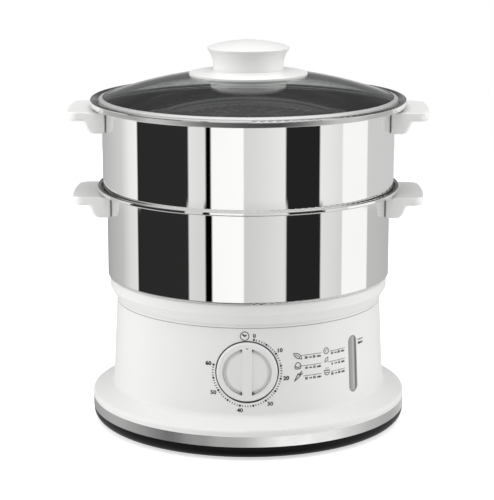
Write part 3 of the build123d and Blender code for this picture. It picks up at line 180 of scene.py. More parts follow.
def principled(
    name, colour, roughness, grain=None, shade=0.0, shade_scale=40.0, crease=None, edge=None,
    **sockets,
):
    """Principled material, with its nodes and its shader.

    roughness is a (low, high) range and grain a (scale, height) bump.  shade is how much darker
    its blotches are, and shade_scale how small.  Shade is painted into gaps by darkening the colour
    with ambient occlusion: (size, darkest grey, openness where it is darkest, openness where it
    ends).  edge is the radius to which sharp edges look broken.
    """
    material = bpy.data.materials.new(name)
    material.use_nodes = True
    nodes = Nodes(material.node_tree)
    shader = nodes.add("ShaderNodeBsdfPrincipled")
    nodes.add("ShaderNodeOutputMaterial", {"Surface": shader.outputs[0]})
    darker = tuple(c * (1 - shade) for c in colour)
    tint = nodes.ramp(nodes.noise(shade_scale), [(BLOTCH_LOW, darker), (BLOTCH_HIGH, colour)])
    # Painted shade: ambient occlusion darkens the base colour in gaps, creases and recesses, where
    # shade falls.
    if crease:
        gap, darkest, closed, open_enough = crease
        cover = nodes.add("ShaderNodeAmbientOcclusion", {"Distance": gap}, samples=CREASE_SAMPLES)
        gap_shade_tint = nodes.ramp(cover.outputs["AO"], [(closed, grey(darkest)), (open_enough, grey(255))])
        tint = nodes.mix(1.0, tint, gap_shade_tint, "MULTIPLY")
    nodes.feed(shader.inputs["Base Color"], tint)
    rough = nodes.spread(nodes.noise(shade_scale * ROUGHNESS_FINENESS), *roughness)
    nodes.feed(shader.inputs["Roughness"], rough)
    if grain:
        scale, height = grain
        bump = nodes.add("ShaderNodeBump", {"Height": nodes.noise(scale), "Distance": height})
        nodes.feed(shader.inputs["Normal"], bump.outputs[0])
    if edge:
        broken = nodes.add("ShaderNodeBevel", {"Radius": edge}, samples=EDGE_SAMPLES)
        nodes.feed(shader.inputs["Normal"], broken.outputs[0])
    for socket, value in sockets.items():
        shader.inputs[socket.replace("_", " ")].default_value = value
    return material, nodes, shader


def finish(*settings, **named):
    """Principled material by itself."""
    return principled(*settings, **named)[0]


MOULD_GRAIN = (1400, 0.01 * MM)

# Painted shade: the white plastics darken their colour in the seams and gaps, round the timer knob
# and in its hollows, and beside the handles.
white_plastic = finish(
    "white_moulded_plastic", (0.845, 0.845, 0.835), (0.30, 0.36),
    grain=MOULD_GRAIN, shade=0.012, crease=(2 * MM, 5, 0.45, 0.97),
)
handle_plastic = finish(
    "white_handle_plastic", (0.93, 0.93, 0.92), (0.32, 0.38),
    grain=MOULD_GRAIN, shade=0.012, crease=(1.2 * MM, 215, 0.2, 0.6),
)
knob_plastic = finish(
    "white_knob_plastic", (0.845, 0.845, 0.835), (0.30, 0.36),
    grain=MOULD_GRAIN, shade=0.012, crease=(3 * MM, 5, 0.3, 0.5),
)
lid_plastic = finish(
    "white_lid_plastic", (0.89, 0.89, 0.88), (0.30, 0.36), grain=MOULD_GRAIN, shade=0.012
)
black_plastic = finish(
    "black_moulded_plastic", (0.006, 0.006, 0.006), (0.30, 0.42),
    grain=(1800, 0.02 * MM), shade=0.2, Specular_IOR_Level=0.2,
)
# Painted shade: the steels darken their colour in gaps, under the rims and beside the handles.
polished_steel = finish(
    "polished_steel", (0.95, 0.95, 0.94), (0.012, 0.03), shade=0.01,
    crease=(2.5 * MM, 105, 0.2, 0.6), edge=1.1 * MM, Metallic=1.0,
)
satin_steel = finish(
    "satin_steel", (0.93, 0.93, 0.92), (0.12, 0.18), shade=0.01,
    crease=(2.5 * MM, 60, 0.2, 0.6), edge=0.8 * MM, Metallic=0.5,
)
rubber_black = finish(
    "black_rubber", (0.02, 0.02, 0.02), (0.55, 0.7), grain=(2500, 0.02 * MM), shade=0.2
)
gasket_grey = finish(
    "gauge_gasket", (0.30, 0.30, 0.29), (0.45, 0.55), grain=(2500, 0.01 * MM), shade=0.1
)
silicone = finish("grey_silicone", (0.32, 0.32, 0.31), (0.45, 0.55), shade=0.05)
zinc_steel = finish(
    "zinc_plated_steel", (0.62, 0.62, 0.60), (0.25, 0.4), shade=0.12, shade_scale=400, Metallic=1.0
)
brass = finish(
    "brass", (0.72, 0.53, 0.24), (0.22, 0.34), shade=0.1, shade_scale=300, Metallic=1.0
)
element_sheath = finish(
    "element_sheath", (0.25, 0.24, 0.23), (0.35, 0.5), shade=0.3, shade_scale=200, Metallic=1.0
)
acetal = finish(
    "white_acetal", (0.78, 0.78, 0.76), (0.38, 0.46), grain=(1600, 0.01 * MM), shade=0.02
)
ink = finish("dark_print", (0.012, 0.012, 0.012), (0.45, 0.55), shade=0.3, shade_scale=900)
pale_ink = finish("grey_print", (0.10, 0.10, 0.10), (0.45, 0.55), shade=0.3, shade_scale=900)


STREAKS_ROUND = 12.0        # scale of the ring's grain round it, per radian
STREAKS_UP = 400.0          # and how much finer it is up the ring, per metre
STREAK_DETAIL = 4.0
STREAK_HEIGHT = 0.004 * MM


def brushed_ring_material():
    """Satin bright metal with a fine grain that runs round the ring."""
    material, nodes, shader = principled(
        "brushed_ring", (0.93, 0.93, 0.92), (0.10, 0.16), shade=0.01, Metallic=1.0
    )
    place = nodes.add("ShaderNodeTexCoord").outputs["Object"]
    x, y, z = nodes.add("ShaderNodeSeparateXYZ", {0: place}).outputs
    turn = nodes.math("ARCTAN2", x, y)
    along = nodes.add("ShaderNodeCombineXYZ", {0: turn, 1: nodes.math("MULTIPLY", z, STREAKS_UP)})
    streaks = nodes.noise(STREAKS_ROUND, detail=STREAK_DETAIL, vector=along.outputs[0])
    bump = nodes.add("ShaderNodeBump", {"Height": streaks, "Distance": STREAK_HEIGHT})
    nodes.feed(shader.inputs["Normal"], bump.outputs[0])
    return material


GAUGE_TUBE = 8 * MM         # width of the water window
# Painted shading and highlight of the tube behind it: greys across it, from its left edge at 0 to
# its right edge at 1
GAUGE_PAINTED_SHADING = (
    (0.0, 120), (0.15, 148), (0.5, 160), (0.62, 182), (0.75, 160), (0.88, 112), (1.0, 100),
)


def gauge_material():
    """Window over a clear tube, with the tube's shading and highlight painted into its colour: pale
    along the tube's middle, darker towards its edges.
    """
    material, nodes, shader = principled("clear_gauge", grey(150), (0.12, 0.18), Coat_Weight=0.5)
    place = nodes.add("ShaderNodeTexCoord").outputs["Object"]
    across = (cos(gauge_azimuth), sin(gauge_azimuth), 0)
    offset = nodes.add("ShaderNodeVectorMath", {0: place, 1: across}, operation="DOT_PRODUCT")
    share = nodes.share(offset.outputs["Value"], -GAUGE_TUBE / 2, GAUGE_TUBE / 2)
    stops = [(position, grey(level)) for position, level in GAUGE_PAINTED_SHADING]
    nodes.feed(shader.inputs["Base Color"], nodes.ramp(share, stops))
    return material


GLASS_IOR = 1.5
GLASS_SPECULAR = 0.08       # so that the studio shows only weakly on the dome
GLASS_TINTS = ((0.90, 0.93, 0.92), (0.93, 0.95, 0.94))
GLASS_TINT_SCALE = 30.0
GLASS_ROUGHNESS = 0.012     # at most
GLASS_ROUGHNESS_SCALE = 60.0
GLASS_SHADOW = (0.88, 0.91, 0.90, 1)


def glass_material():
    """Tempered glass that lets light through to what it covers."""
    material = bpy.data.materials.new("lid_glass")
    material.use_nodes = True
    nodes = Nodes(material.node_tree)
    tints = list(zip((BLOTCH_LOW, BLOTCH_HIGH), GLASS_TINTS))
    glass = nodes.add(
        "ShaderNodeBsdfPrincipled",
        {
            "Base Color": nodes.ramp(nodes.noise(GLASS_TINT_SCALE), tints),
            "Roughness": nodes.spread(nodes.noise(GLASS_ROUGHNESS_SCALE), 0.0, GLASS_ROUGHNESS),
            "Transmission Weight": 1.0,
            "IOR": GLASS_IOR,
            "Specular IOR Level": GLASS_SPECULAR,
        },
    )
    clear = nodes.add("ShaderNodeBsdfTransparent", {"Color": GLASS_SHADOW})
    ray = nodes.add("ShaderNodeLightPath").outputs
    lighting = nodes.math("MAXIMUM", ray["Is Shadow Ray"], ray["Is Diffuse Ray"])
    surface = nodes.choose(lighting, glass.outputs[0], clear.outputs[0])
    nodes.add("ShaderNodeOutputMaterial", {"Surface": surface})
    return material


slot_materials = {
    "white_plastic": white_plastic,
    "black_plastic": black_plastic,
    "polished_steel": polished_steel,
    "brushed_ring": brushed_ring_material(),
    "lid_glass": glass_material(),
    "gauge_clear": gauge_material(),
    "rubber_black": rubber_black,
    "gasket_grey": gasket_grey,
    "silicone": silicone,
    "zinc_steel": zinc_steel,
    "brass_gear": brass,
    "element_sheath": element_sheath,
    "white_acetal": acetal,
}


def node_material(node, slot):
    """Material of a node's slot: the slot's own, but for the lid, the handles and the knob."""
    if node == "lid_band":
        return satin_steel
    if slot == "white_plastic" and node.startswith("lid_"):
        return lid_plastic
    if slot == "white_plastic" and node.endswith("_handle"):
        return handle_plastic
    if slot == "white_plastic" and node == "timer_knob":
        return knob_plastic
    return slot_materials[slot]


for name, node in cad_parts.items():
    for slot in node.material_slots:
        slot.material = node_material(name, slot.material.name.split(".")[0])

# ---------------------------------------------------------------------------------------------
# Camera
# ---------------------------------------------------------------------------------------------

IMAGE_WIDTH, IMAGE_HEIGHT = 494, 500
SENSOR = 36.0
FOCAL_PIXELS = 1885.5
CAMERA_DISTANCE = 1.5435
CAMERA_PITCH = radians(12.68)
AIM_HEIGHT = 0.1381
AXIS_PIXEL_X = 248.3            # the steamer's axis in the picture
CAMERA_AZIMUTH = radians(0.53)  # to the right of the timer knob's axis

camera_data = bpy.data.cameras.new("camera")
camera_data.sensor_width = SENSOR
camera_data.lens = FOCAL_PIXELS * SENSOR / IMAGE_HEIGHT
camera = bpy.data.objects.new("camera", camera_data)
bpy.context.scene.collection.objects.link(camera)
side_step = (AXIS_PIXEL_X - IMAGE_WIDTH / 2) / FOCAL_PIXELS * CAMERA_DISTANCE
camera_run = CAMERA_DISTANCE * cos(CAMERA_PITCH)
camera.location = (
    camera_run * sin(CAMERA_AZIMUTH) - side_step * cos(CAMERA_AZIMUTH),
    -camera_run * cos(CAMERA_AZIMUTH) - side_step * sin(CAMERA_AZIMUTH),
    AIM_HEIGHT + CAMERA_DISTANCE * sin(CAMERA_PITCH),
)
camera.rotation_euler = (pi / 2 - CAMERA_PITCH, 0, CAMERA_AZIMUTH)
bpy.context.scene.camera = camera

# ---------------------------------------------------------------------------------------------
# Printed marks, in millimetres across the wall (u) and up it (v)
# ---------------------------------------------------------------------------------------------

PRINT_LIFT = 0.045 * MM     # middle of the print above the surface
PRINT_HALF = 0.02 * MM      # half its thickness
PRINT_STEP = 1.5            # longest piece of a line that follows the curve
DISC_SIDES, RING_SIDES = 20, 24
MITRE_LIMIT = 0.5           # cosine of half a bend, under which a line's corner isn't widened more
WELD = 1e-7                 # metres
CAPITAL_SHARE = 0.72        # height of a capital for a font size of 1
CURVE_STEPS = 3             # of a letter's curves
DIAL_DROP = 0.5             # the dial's middle under the knob's axis
TABLE_RADIUS = 109.5        # arc lengths of the table and the gauge are at this radius


def on_wall(azimuth, z, lift):
    """Point over the housing's wall, at an azimuth to the right of the knob."""
    radius = wall_radius(z) + lift
    return Vector((radius * sin(azimuth), -radius * cos(azimuth), z))


def dial_place(u, v, lift):
    """Offset from the dial's middle, square to the picture."""
    z = knob_z + (v - DIAL_DROP) * MM
    return on_wall(asin(u * MM / wall_radius(z)), z, lift)


def table_place(u, v, lift):
    """Arc length from the camera's side of the wall, and height above the floor."""
    return on_wall(u / TABLE_RADIUS + CAMERA_AZIMUTH, v * MM, lift)


def knob_place(u, v, lift):
    """Offset from the knob's axis on its face."""
    return Vector((u * MM, knob_low.y - lift, knob_z + v * MM))


def circle(u, v, radius, sides):
    """Corners of a round outline, counter-clockwise."""
    angles = [2 * pi * i / sides for i in range(sides)]
    return [(u + radius * cos(angle), v + radius * sin(angle)) for angle in angles]


def even_steps(points, closed):
    """Points with more between them, no further apart than PRINT_STEP."""
    path = []
    ends = points[1:] + points[:1] if closed else points[1:]
    for (u0, v0), (u1, v1) in zip(points, ends):
        cuts = max(1, ceil(hypot(u1 - u0, v1 - v0) / PRINT_STEP))
        path += [(u0 + (u1 - u0) * k / cuts, v0 + (v1 - v0) * k / cuts) for k in range(cuts)]
    return path if closed else path + [points[-1]]


class Print:
    """Marks of one ink, collected in one mesh of thin prisms."""

    def __init__(self, name, place, body, material, slot):
        self.name, self.place, self.body = name, place, body
        self.material, self.slot = material, slot
        self.bm = bmesh.new()

    def corners(self, points):
        """Under and upper vertices of points."""
        return [
            [self.bm.verts.new(self.place(u, v, PRINT_LIFT + side * PRINT_HALF)) for u, v in points]
            for side in (-1, 1)
        ]

    def slab(self, points):
        """Filled outline, counter-clockwise."""
        under, upper = self.corners(points)
        self.bm.faces.new(upper)
        self.bm.faces.new(under[::-1])
        for i in range(len(points)):
            j = (i + 1) % len(points)
            self.bm.faces.new((under[i], under[j], upper[j], upper[i]))

    def disc(self, u, v, radius):
        self.slab(circle(u, v, radius, DISC_SIDES))

    def line(self, points, width, closed=False):
        """Line of even width along points, cut into short pieces."""
        path = even_steps(list(points), closed)
        left, right = [], []
        for i, (u, v) in enumerate(path):
            before = path[i - 1] if closed or i else path[0]
            after = path[(i + 1) % len(path)] if closed or i < len(path) - 1 else path[-1]
            normals = []
            for (ua, va), (ub, vb) in ((before, (u, v)), ((u, v), after)):
                length = hypot(ub - ua, vb - va)
                if length:
                    normals.append((-(vb - va) / length, (ub - ua) / length))
            n = Vector((sum(n[0] for n in normals), sum(n[1] for n in normals))).normalized()
            half = width / 2 / max(MITRE_LIMIT, n.x * normals[0][0] + n.y * normals[0][1])
            left.append((u + n.x * half, v + n.y * half))
            right.append((u - n.x * half, v - n.y * half))
        rings = list(zip(*self.corners(left), *self.corners(right)))
        for here, there in zip(rings, rings[1:] + rings[:1] if closed else rings[1:]):
            a_low, a_up, b_low, b_up = here
            c_low, c_up, d_low, d_up = there
            self.bm.faces.new((a_up, b_up, d_up, c_up))
            self.bm.faces.new((a_low, c_low, d_low, b_low))
            self.bm.faces.new((a_low, a_up, c_up, c_low))
            self.bm.faces.new((b_low, d_low, d_up, b_up))
        if not closed:
            for a_low, a_up, b_low, b_up in (rings[0], rings[-1]):
                self.bm.faces.new((a_low, b_low, b_up, a_up))

    def ring(self, u, v, radius, width):
        """Circular line."""
        self.line(circle(u, v, radius, RING_SIDES), width, True)

    def text(self, body, u, v, height, weight=0.0, across=1.0):
        """Lettering centred on a point: height of its capitals, extra stroke width, stretch."""
        curve = bpy.data.curves.new(self.name + "_text", "FONT")
        curve.body = body
        curve.align_x = "CENTER"
        curve.align_y = "CENTER"
        curve.size = height / CAPITAL_SHARE
        curve.offset = weight / 2
        curve.resolution_u = CURVE_STEPS
        curve.extrude = 0.5     # a thickness of 1, which becomes the print's own
        carrier = bpy.data.objects.new(curve.name, curve)
        bpy.context.scene.collection.objects.link(carrier)
        shape = carrier.evaluated_get(bpy.context.evaluated_depsgraph_get())
        mesh = bpy.data.meshes.new_from_object(shape)
        start = len(self.bm.verts)
        self.bm.from_mesh(mesh)
        self.bm.verts.ensure_lookup_table()
        for vertex in self.bm.verts[start:]:
            x, y, z = vertex.co
            vertex.co = self.place(u + x * across, v + y, PRINT_LIFT + 2 * z * PRINT_HALF)
        bpy.data.objects.remove(carrier)
        bpy.data.meshes.remove(mesh)
        bpy.data.curves.remove(curve)

    def finish(self):
        """Puts the collected marks into the scene."""
        bmesh.ops.remove_doubles(self.bm, verts=self.bm.verts, dist=WELD)
        bmesh.ops.recalc_face_normals(self.bm, faces=self.bm.faces)
        mesh = bpy.data.meshes.new(self.name)
        self.bm.to_mesh(mesh)
        self.bm.free()
        mesh.materials.append(self.material)
        piece = bpy.data.objects.new(self.name, mesh)
        bpy.context.scene.collection.objects.link(piece)
        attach(piece, self.body)


# Dial round the timer knob: 0 to 60 minutes, with a dot for every five
FIRST_MARK = 11.6           # clockwise from the top, degrees
MARK_STEP = 22.56           # five minutes
DOT_COUNT = 13
DOT_CIRCLE = 26.5
DOT_RADIUS = 0.84
DASH_HALF, DASH_WIDTH = 0.7, 0.52
NUMERAL_HEIGHT, NUMERAL_WEIGHT, NUMERAL_STRETCH = 3.0, 0.2, 1.1
# Middles of the numerals 0 to 60, in polar form: clockwise from the top, distance from the middle
NUMERALS = (
    (11.0, 29.5), (56.0, 30.3), (100.2, 30.7), (144.4, 30.7), (190.4, 30.3), (237.9, 30.9),
    (282.2, 30.6),
)
CLOCK_U, CLOCK_V = -1.9, 28.9
CLOCK_RADIUS, CLOCK_LINE = 3.35, 0.55
CLOCK_HANDS, HAND_WIDTH = ((-1.8, 1.6), (0, 0), (1.4, 0.8)), 1.0   # from the clock's middle
POINTER, POINTER_WIDTH = ((-0.9, 19.4), (0, 18.5), (0.9, 19.4)), 0.4


def dial_point(turn, radius):
    """Offset from the dial's middle of a point at a clockwise angle from the top."""
    return radius * sin(radians(turn)), radius * cos(radians(turn))


def print_dial():
    dial = Print("dial_print", dial_place, "base", ink, "black_plastic")
    for step in range(DOT_COUNT):
        turn = FIRST_MARK + MARK_STEP * step
        dial.disc(*dial_point(turn, DOT_CIRCLE), DOT_RADIUS)
        for minute in range(1, 5) if step < DOT_COUNT - 1 else ():
            between = turn + MARK_STEP * minute / 5
            ends = [dial_point(between, DOT_CIRCLE + side * DASH_HALF) for side in (-1, 1)]
            dial.line(ends, DASH_WIDTH)
    for index, (turn, radius) in enumerate(NUMERALS):
        middle = dial_point(turn, radius)
        dial.text(str(10 * index), *middle, NUMERAL_HEIGHT, NUMERAL_WEIGHT, NUMERAL_STRETCH)
    dial.line([(CLOCK_U + u, CLOCK_V + v) for u, v in CLOCK_HANDS], HAND_WIDTH)
    dial.finish()
    clock = Print("clock_print", dial_place, "base", pale_ink, "gasket_grey")
    clock.ring(CLOCK_U, CLOCK_V, CLOCK_RADIUS, CLOCK_LINE)
    clock.finish()
    pointer = Print("pointer_print", knob_place, "timer_dial", pale_ink, "gasket_grey")
    pointer.line(POINTER, POINTER_WIDTH)
    pointer.finish()


# Cooking table: three kinds of food in each of two columns.  A row gives its rule's left end and
# height, its times' height, and the shortest and longest time.
LEFT_ROWS = (
    (42.0, 77.1, 75.0, 20, 25),
    (42.0, 68.8, 66.8, 10, 15),
    (43.8, 60.7, 58.5, 25, 35),
)
RIGHT_ROWS = (
    (68.4, 77.1, 75.2, 15, 20),
    (65.9, 68.8, 66.7, 8, 12),
    (69.0, 60.7, 58.7, 35, 40),
)
# Where a column's times start and its rules end
TABLE_COLUMNS = ((45.0, 60.1, LEFT_ROWS), (69.0, 84.4, RIGHT_ROWS))
RULE_WIDTH = 0.26
TIME_HEIGHT, TIME_WEIGHT, UNIT_WEIGHT = 1.75, 0.16, 0.14
LOW_AT, HIGH_AT, UNIT_AT = 1.4, 8.4, 12.8       # middles of a row's words, from where it starts
ARROW_START, ARROW_END, ARROW_WIDTH = 3.8, 5.4, 0.5
HEAD_START, HEAD_END, HEAD_HALF = 5.2, 6.6, 0.75

# Food signs in front of the rows
FINE, MEDIUM, BROAD, BOLD = 0.4, 0.5, 0.6, 0.7
POD = ((35.8, 79.3), (36.4, 77.2), (38.6, 75.2), (42.6, 74.3), (42.0, 76.8), (39.8, 78.8))
PEAS, PEA_RADIUS = ((37.8, 77.7), (39.3, 76.9), (40.7, 75.9)), 0.5
EGG, EGG_RADIUS = (39.4, 69.8), 2.0
EGG_CUP = ((36.6, 69.4), (37.4, 66.8), (41.4, 66.8), (42.2, 69.4))
CARROT = ((36.2, 57.2), (41.2, 61.0), (39.5, 62.9))
CARROT_TOPS = (((40.4, 62.0), (42.6, 64.6)), ((40.9, 61.6), (43.4, 62.8)))
POTATO, POTATO_RADIUS = (64.8, 78.0), 2.3
POTATO_EYES = (((63.6, 78.6), (64.6, 77.2)), ((65.2, 79.2), (66.0, 78.2)))
LEAF = ((63.2, 69.0), (64.0, 71.6), (66.4, 72.8), (66.2, 70.2), (63.2, 69.0))
BOWL_RIM = ((62.2, 62.2), (68.0, 62.2))
BOWL = ((62.7, 61.2), (63.4, 59.4), (64.6, 58.6), (65.8, 58.6), (67.0, 59.4), (67.7, 61.2))
BOWL_FILL = ((63.6, 60.4), (66.8, 60.4))
STEAM = (((64.2, 63.4), (64.6, 64.6)), ((66.0, 63.4), (66.4, 64.6)))


def print_time(times, start, z, low, high):
    """One row's times: from low to high, in minutes."""
    times.text(str(low), start + LOW_AT, z, TIME_HEIGHT, TIME_WEIGHT)
    times.line([(start + ARROW_START, z), (start + ARROW_END, z)], ARROW_WIDTH)
    base, tip = start + HEAD_START, start + HEAD_END
    times.slab([(base, z - HEAD_HALF), (tip, z), (base, z + HEAD_HALF)])
    times.text(str(high), start + HIGH_AT, z, TIME_HEIGHT, TIME_WEIGHT)
    times.text("min", start + UNIT_AT, z, TIME_HEIGHT, UNIT_WEIGHT)


def print_signs(signs, tops):
    """The six food signs.  The carrot's tops have the darker ink."""
    signs.line(POD, MEDIUM, True)
    for pea in PEAS:
        signs.disc(*pea, PEA_RADIUS)
    signs.ring(*EGG, EGG_RADIUS, MEDIUM)
    signs.line(EGG_CUP, MEDIUM)
    signs.line(CARROT, BROAD, True)
    for leaf in CARROT_TOPS:
        tops.line(leaf, BOLD)
    signs.ring(*POTATO, POTATO_RADIUS, MEDIUM)
    signs.line(LEAF, FINE)
    signs.line(BOWL_RIM, BOLD)
    signs.line(BOWL, MEDIUM)
    signs.line(BOWL_FILL, MEDIUM)
    for stroke in POTATO_EYES + STEAM:
        signs.line(stroke, FINE)


def print_table():
    rules = Print("table_rules_print", table_place, "base", pale_ink, "gasket_grey")
    times = Print("table_times_print", table_place, "base", ink, "black_plastic")
    signs = Print("table_signs_print", table_place, "base", pale_ink, "gasket_grey")
    for times_start, rule_end, rows in TABLE_COLUMNS:
        for rule_start, rule_z, times_z, low, high in rows:
            rules.line([(rule_start, rule_z), (rule_end, rule_z)], RULE_WIDTH)
            print_time(times, times_start, times_z, low, high)
    print_signs(signs, times)
    for piece in (rules, times, signs):
        piece.finish()


# Highest level, beside the top of the water window
LEVEL_LINE, LEVEL_WIDTH = ((100.7, 80.25), (108.2, 80.25)), 0.55
LEVEL_WORD, LEVEL_PLACE = "MAX", (104.5, 77.4)
LEVEL_HEIGHT, LEVEL_WEIGHT, LEVEL_STRETCH = 1.8, 0.2, 1.3


def print_gauge():
    gauge = Print("gauge_print", table_place, "base", ink, "black_plastic")
    gauge.line(LEVEL_LINE, LEVEL_WIDTH)
    gauge.text(LEVEL_WORD, *LEVEL_PLACE, LEVEL_HEIGHT, LEVEL_WEIGHT, LEVEL_STRETCH)
    gauge.finish()


print_dial()
print_table()
print_gauge()

# ---------------------------------------------------------------------------------------------
# Studio: soft lamps, white surroundings, and grey and black cards that the steel reflects
# ---------------------------------------------------------------------------------------------

STEEL_REFLECTANCE = 0.95
# Card edges as their reflections appear across the drums, in metres at the steamer's axis, with
# the display grey on the left and on the right of each edge
CARD_EDGES = (
    (-0.1195, 190, 170),
    (-0.1130, 186, 186),
    (-0.1030, 204, 204),
    (-0.0968, 232, 232),
    (-0.0904, 240, 34),
    (-0.0880, 41, 41),
    (-0.0486, 42, 226),
    (-0.0410, 221, 221),
    (-0.0353, 220, 2),
    (-0.0301, 2, 249),
    (-0.0034, 252, 212),
    (0.0100, 219, 219),
    (0.0304, 232, 34),
    (0.0586, 34, 232),
    (0.0680, 228, 228),
    (0.0766, 220, 247),
    (0.0967, 246, 203),
    (0.1200, 197, 197),
)
CARD_REACH = 0.12           # the drums' ends
CARD_BLUR = 0.0004          # half the width of an edge, as a share of the whole turn
DIMMED_GREYS = (60, 240)    # from and to: the cards that are darker for the lower drum
LOWER_DIMMING = 0.045       # how much darker
END_DIMMING = 0.065         # and how much more at its ends
# Greys that the ring and the surfaces that face down reflect, by the azimuth of the surface
RING_TONES = (
    (-80, 160), (-60, 168), (-45, 160), (-30, 110), (-20, 141), (-10, 160), (-3, 165), (4, 214),
    (12, 250), (20, 255), (30, 244), (38, 212), (50, 176), (65, 171), (80, 198),
)
GROUND_TONES = (
    (-80, 200), (-35, 190), (-16, 110), (0, 80), (12, 70), (20, 110), (35, 190), (80, 200),
)
# Greys over the steamer by elevation, in front of it and behind it
FRONT_SKY = ((0, 205), (14, 120), (31, 215), (90, 250))
BACK_SKY = ((0, 150), (14, 90), (24, 75), (34, 110), (46, 205), (90, 235))
LID_GREY = 108              # over the steamer, as the glass lets it in
# Elevations in degrees, each with half the width of its change: from the ground to what the ring
# reflects, to the lower drum's cards, to the upper drum's, and to the sky
GROUND_EDGE = (-22.0, 0.8)
RING_EDGE = (-15.7, 1.2)
DRUM_EDGE = (-11.3, 0.15)
SKY_EDGE = (-1.0, 5.0)
FRONT_EDGE = (0.0, 0.1)     # from the front sky to the back sky, along y
AMBIENT_STRENGTH = 0.42

FLOOR_HALF = 1.3
FLOOR_GREY = 0.85
FLOOR_GLOW = 0.6            # what the camera sees of it besides its light, so that it is white

# Name, place, size in metres and watts
LAMPS = (
    ("left_lamp", (-1.7, -0.3, 0.6), (1.2, 1.4), 16.2),
    ("right_lamp", (1.7, -0.1, 0.6), (1.2, 1.4), 13.2),
    ("top_lamp", (0, -0.2, 1.9), (1.8, 1.8), 22.5),
)
LAMP_AIM = Vector((0, 0, 0.15))


def reflected(level):
    """Colour that steel reflects as a display grey."""
    return (tone(level) / STEEL_REFLECTANCE,) * 3


def card_azimuth(across, radius):
    """Azimuth from which a drum reflects light at an offset across the view, in degrees."""
    ray = atan(across / camera_run)
    share = max(-1, min(1, camera_run * sin(ray) / radius))
    return degrees(2 * asin(share) - ray)


def card_stops(radius, dimming=0.0, end_dimming=0.0):
    """Ramp stops for the cards round a drum: position is the azimuth from -180 to 180 degrees."""
    stops = []
    darkest, palest = DIMMED_GREYS
    for across, left, right in CARD_EDGES:
        place = 0.5 + card_azimuth(across, radius) / 360
        share = 1 - dimming - end_dimming * (across / CARD_REACH) ** 4
        for step, level in ((-CARD_BLUR, left), (CARD_BLUR, right)):
            if left != right or step > 0:
                dimmed = level * share if darkest <= level <= palest else level
                stops.append((place + step, reflected(dimmed)))
    return stops


def azimuth_stops(tones):
    """Ramp stops from greys by the azimuth of the surface that reflects them."""
    return [(0.5 + 2 * azimuth / 360, reflected(level)) for azimuth, level in tones]


def elevation_stops(tones):
    """Ramp stops from greys by elevation, from 0 to 90 degrees."""
    return [(elevation / 90, grey(level)) for elevation, level in tones]


def surroundings(nodes, split):
    """Colour of what polished metal reflects, by direction."""
    x, y, z = split.outputs
    azimuth = nodes.math("ARCTAN2", x, nodes.math("MULTIPLY", y, -1.0))
    turn = nodes.math("DIVIDE", azimuth, 2 * pi)
    position = nodes.math("ADD", turn, 0.5 - CAMERA_AZIMUTH / (2 * pi))
    elevation = nodes.math("MULTIPLY", nodes.math("ARCSINE", z), 180 / pi)
    height = nodes.math("DIVIDE", elevation, 90.0)
    ground = nodes.ramp(position, azimuth_stops(GROUND_TONES))
    ring = nodes.ramp(position, azimuth_stops(RING_TONES))
    lower = card_stops(drum_radius("lower_bowl"), LOWER_DIMMING, END_DIMMING)
    upper = card_stops(drum_radius("upper_bowl"))
    front = nodes.ramp(height, elevation_stops(FRONT_SKY))
    back = nodes.ramp(height, elevation_stops(BACK_SKY))
    sky = nodes.switch(y, *FRONT_EDGE, front, back)
    colour = nodes.switch(elevation, *RING_EDGE, ring, nodes.ramp(position, lower))
    colour = nodes.switch(elevation, *DRUM_EDGE, colour, nodes.ramp(position, upper))
    colour = nodes.switch(elevation, *GROUND_EDGE, ground, colour)
    return nodes.switch(elevation, *SKY_EDGE, colour, sky)


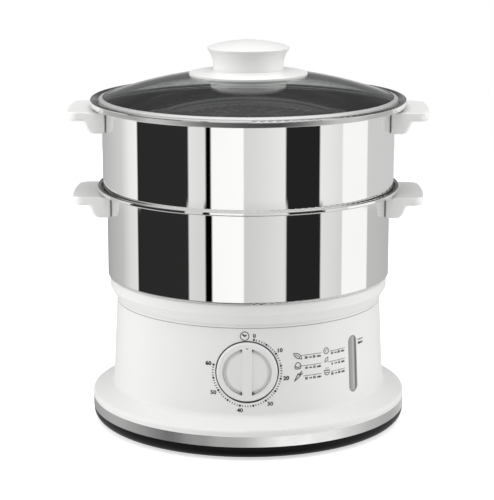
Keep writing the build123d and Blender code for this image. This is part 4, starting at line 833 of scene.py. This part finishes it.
def studio_world():
    """White to the camera; cards, ground and sky to reflections; soft light to the rest."""
    world = bpy.data.worlds.new("studio")
    bpy.context.scene.world = world
    world.use_nodes = True
    nodes = Nodes(world.node_tree)
    direction = nodes.add("ShaderNodeTexCoord").outputs["Generated"]
    split = nodes.add("ShaderNodeSeparateXYZ", {0: direction})

    def background(colour, strength=1.0):
        node = nodes.add("ShaderNodeBackground", {"Color": colour, "Strength": strength})
        return node.outputs[0]

    ray = nodes.add("ShaderNodeLightPath").outputs
    through_glass = ray["Is Transmission Ray"]
    downward = nodes.math("LESS_THAN", split.outputs["Z"], 0.0)
    down_through = nodes.math("MULTIPLY", through_glass, downward)
    up_through = nodes.math("SUBTRACT", through_glass, down_through)
    seen = nodes.math("MAXIMUM", ray["Is Camera Ray"], down_through)
    white = (1, 1, 1, 1)
    ambient = background(white, AMBIENT_STRENGTH)
    light = nodes.choose(ray["Is Glossy Ray"], ambient, background(surroundings(nodes, split)))
    light = nodes.choose(up_through, light, background((*grey(LID_GREY), 1)))
    light = nodes.choose(seen, light, background(white))
    nodes.add("ShaderNodeOutputWorld", {"Surface": light})


def area_lamp(name, place, size, watts):
    """Soft rectangular lamp that faces the steamer."""
    data = bpy.data.lights.new(name, "AREA")
    data.shape = "RECTANGLE"
    data.size, data.size_y = size
    data.energy = watts
    lamp = bpy.data.objects.new(name, data)
    lamp.location = place
    lamp.rotation_euler = (LAMP_AIM - Vector(place)).to_track_quat("-Z", "Y").to_euler()
    lamp.visible_glossy = False
    lamp.visible_camera = False
    lamp.visible_transmission = False
    bpy.context.scene.collection.objects.link(lamp)


def floor():
    """Pale floor: pure white to the camera but for the steamer's shadow."""
    corners = [(-1, -1), (1, -1), (1, 1), (-1, 1)]
    mesh = bpy.data.meshes.new("floor")
    mesh.from_pydata([(FLOOR_HALF * x, FLOOR_HALF * y, 0) for x, y in corners], [], [(0, 1, 2, 3)])
    plane = bpy.data.objects.new("floor", mesh)
    bpy.context.scene.collection.objects.link(plane)
    material = bpy.data.materials.new("floor")
    material.use_nodes = True
    nodes = Nodes(material.node_tree)
    diffuse = nodes.add("ShaderNodeBsdfDiffuse", {"Color": (FLOOR_GREY, FLOOR_GREY, FLOOR_GREY, 1)})
    seen = nodes.add("ShaderNodeLightPath").outputs["Is Camera Ray"]
    strength = nodes.math("MULTIPLY", seen, FLOOR_GLOW)
    glow = nodes.add("ShaderNodeEmission", {"Color": (1, 1, 1, 1), "Strength": strength})
    both = nodes.add("ShaderNodeAddShader", {0: diffuse.outputs[0], 1: glow.outputs[0]})
    nodes.add("ShaderNodeOutputMaterial", {"Surface": both.outputs[0]})
    mesh.materials.append(material)
    plane.visible_glossy = False


studio_world()
floor()
for lamp in LAMPS:
    area_lamp(*lamp)
bpy.context.scene.view_settings.view_transform = "Standard"
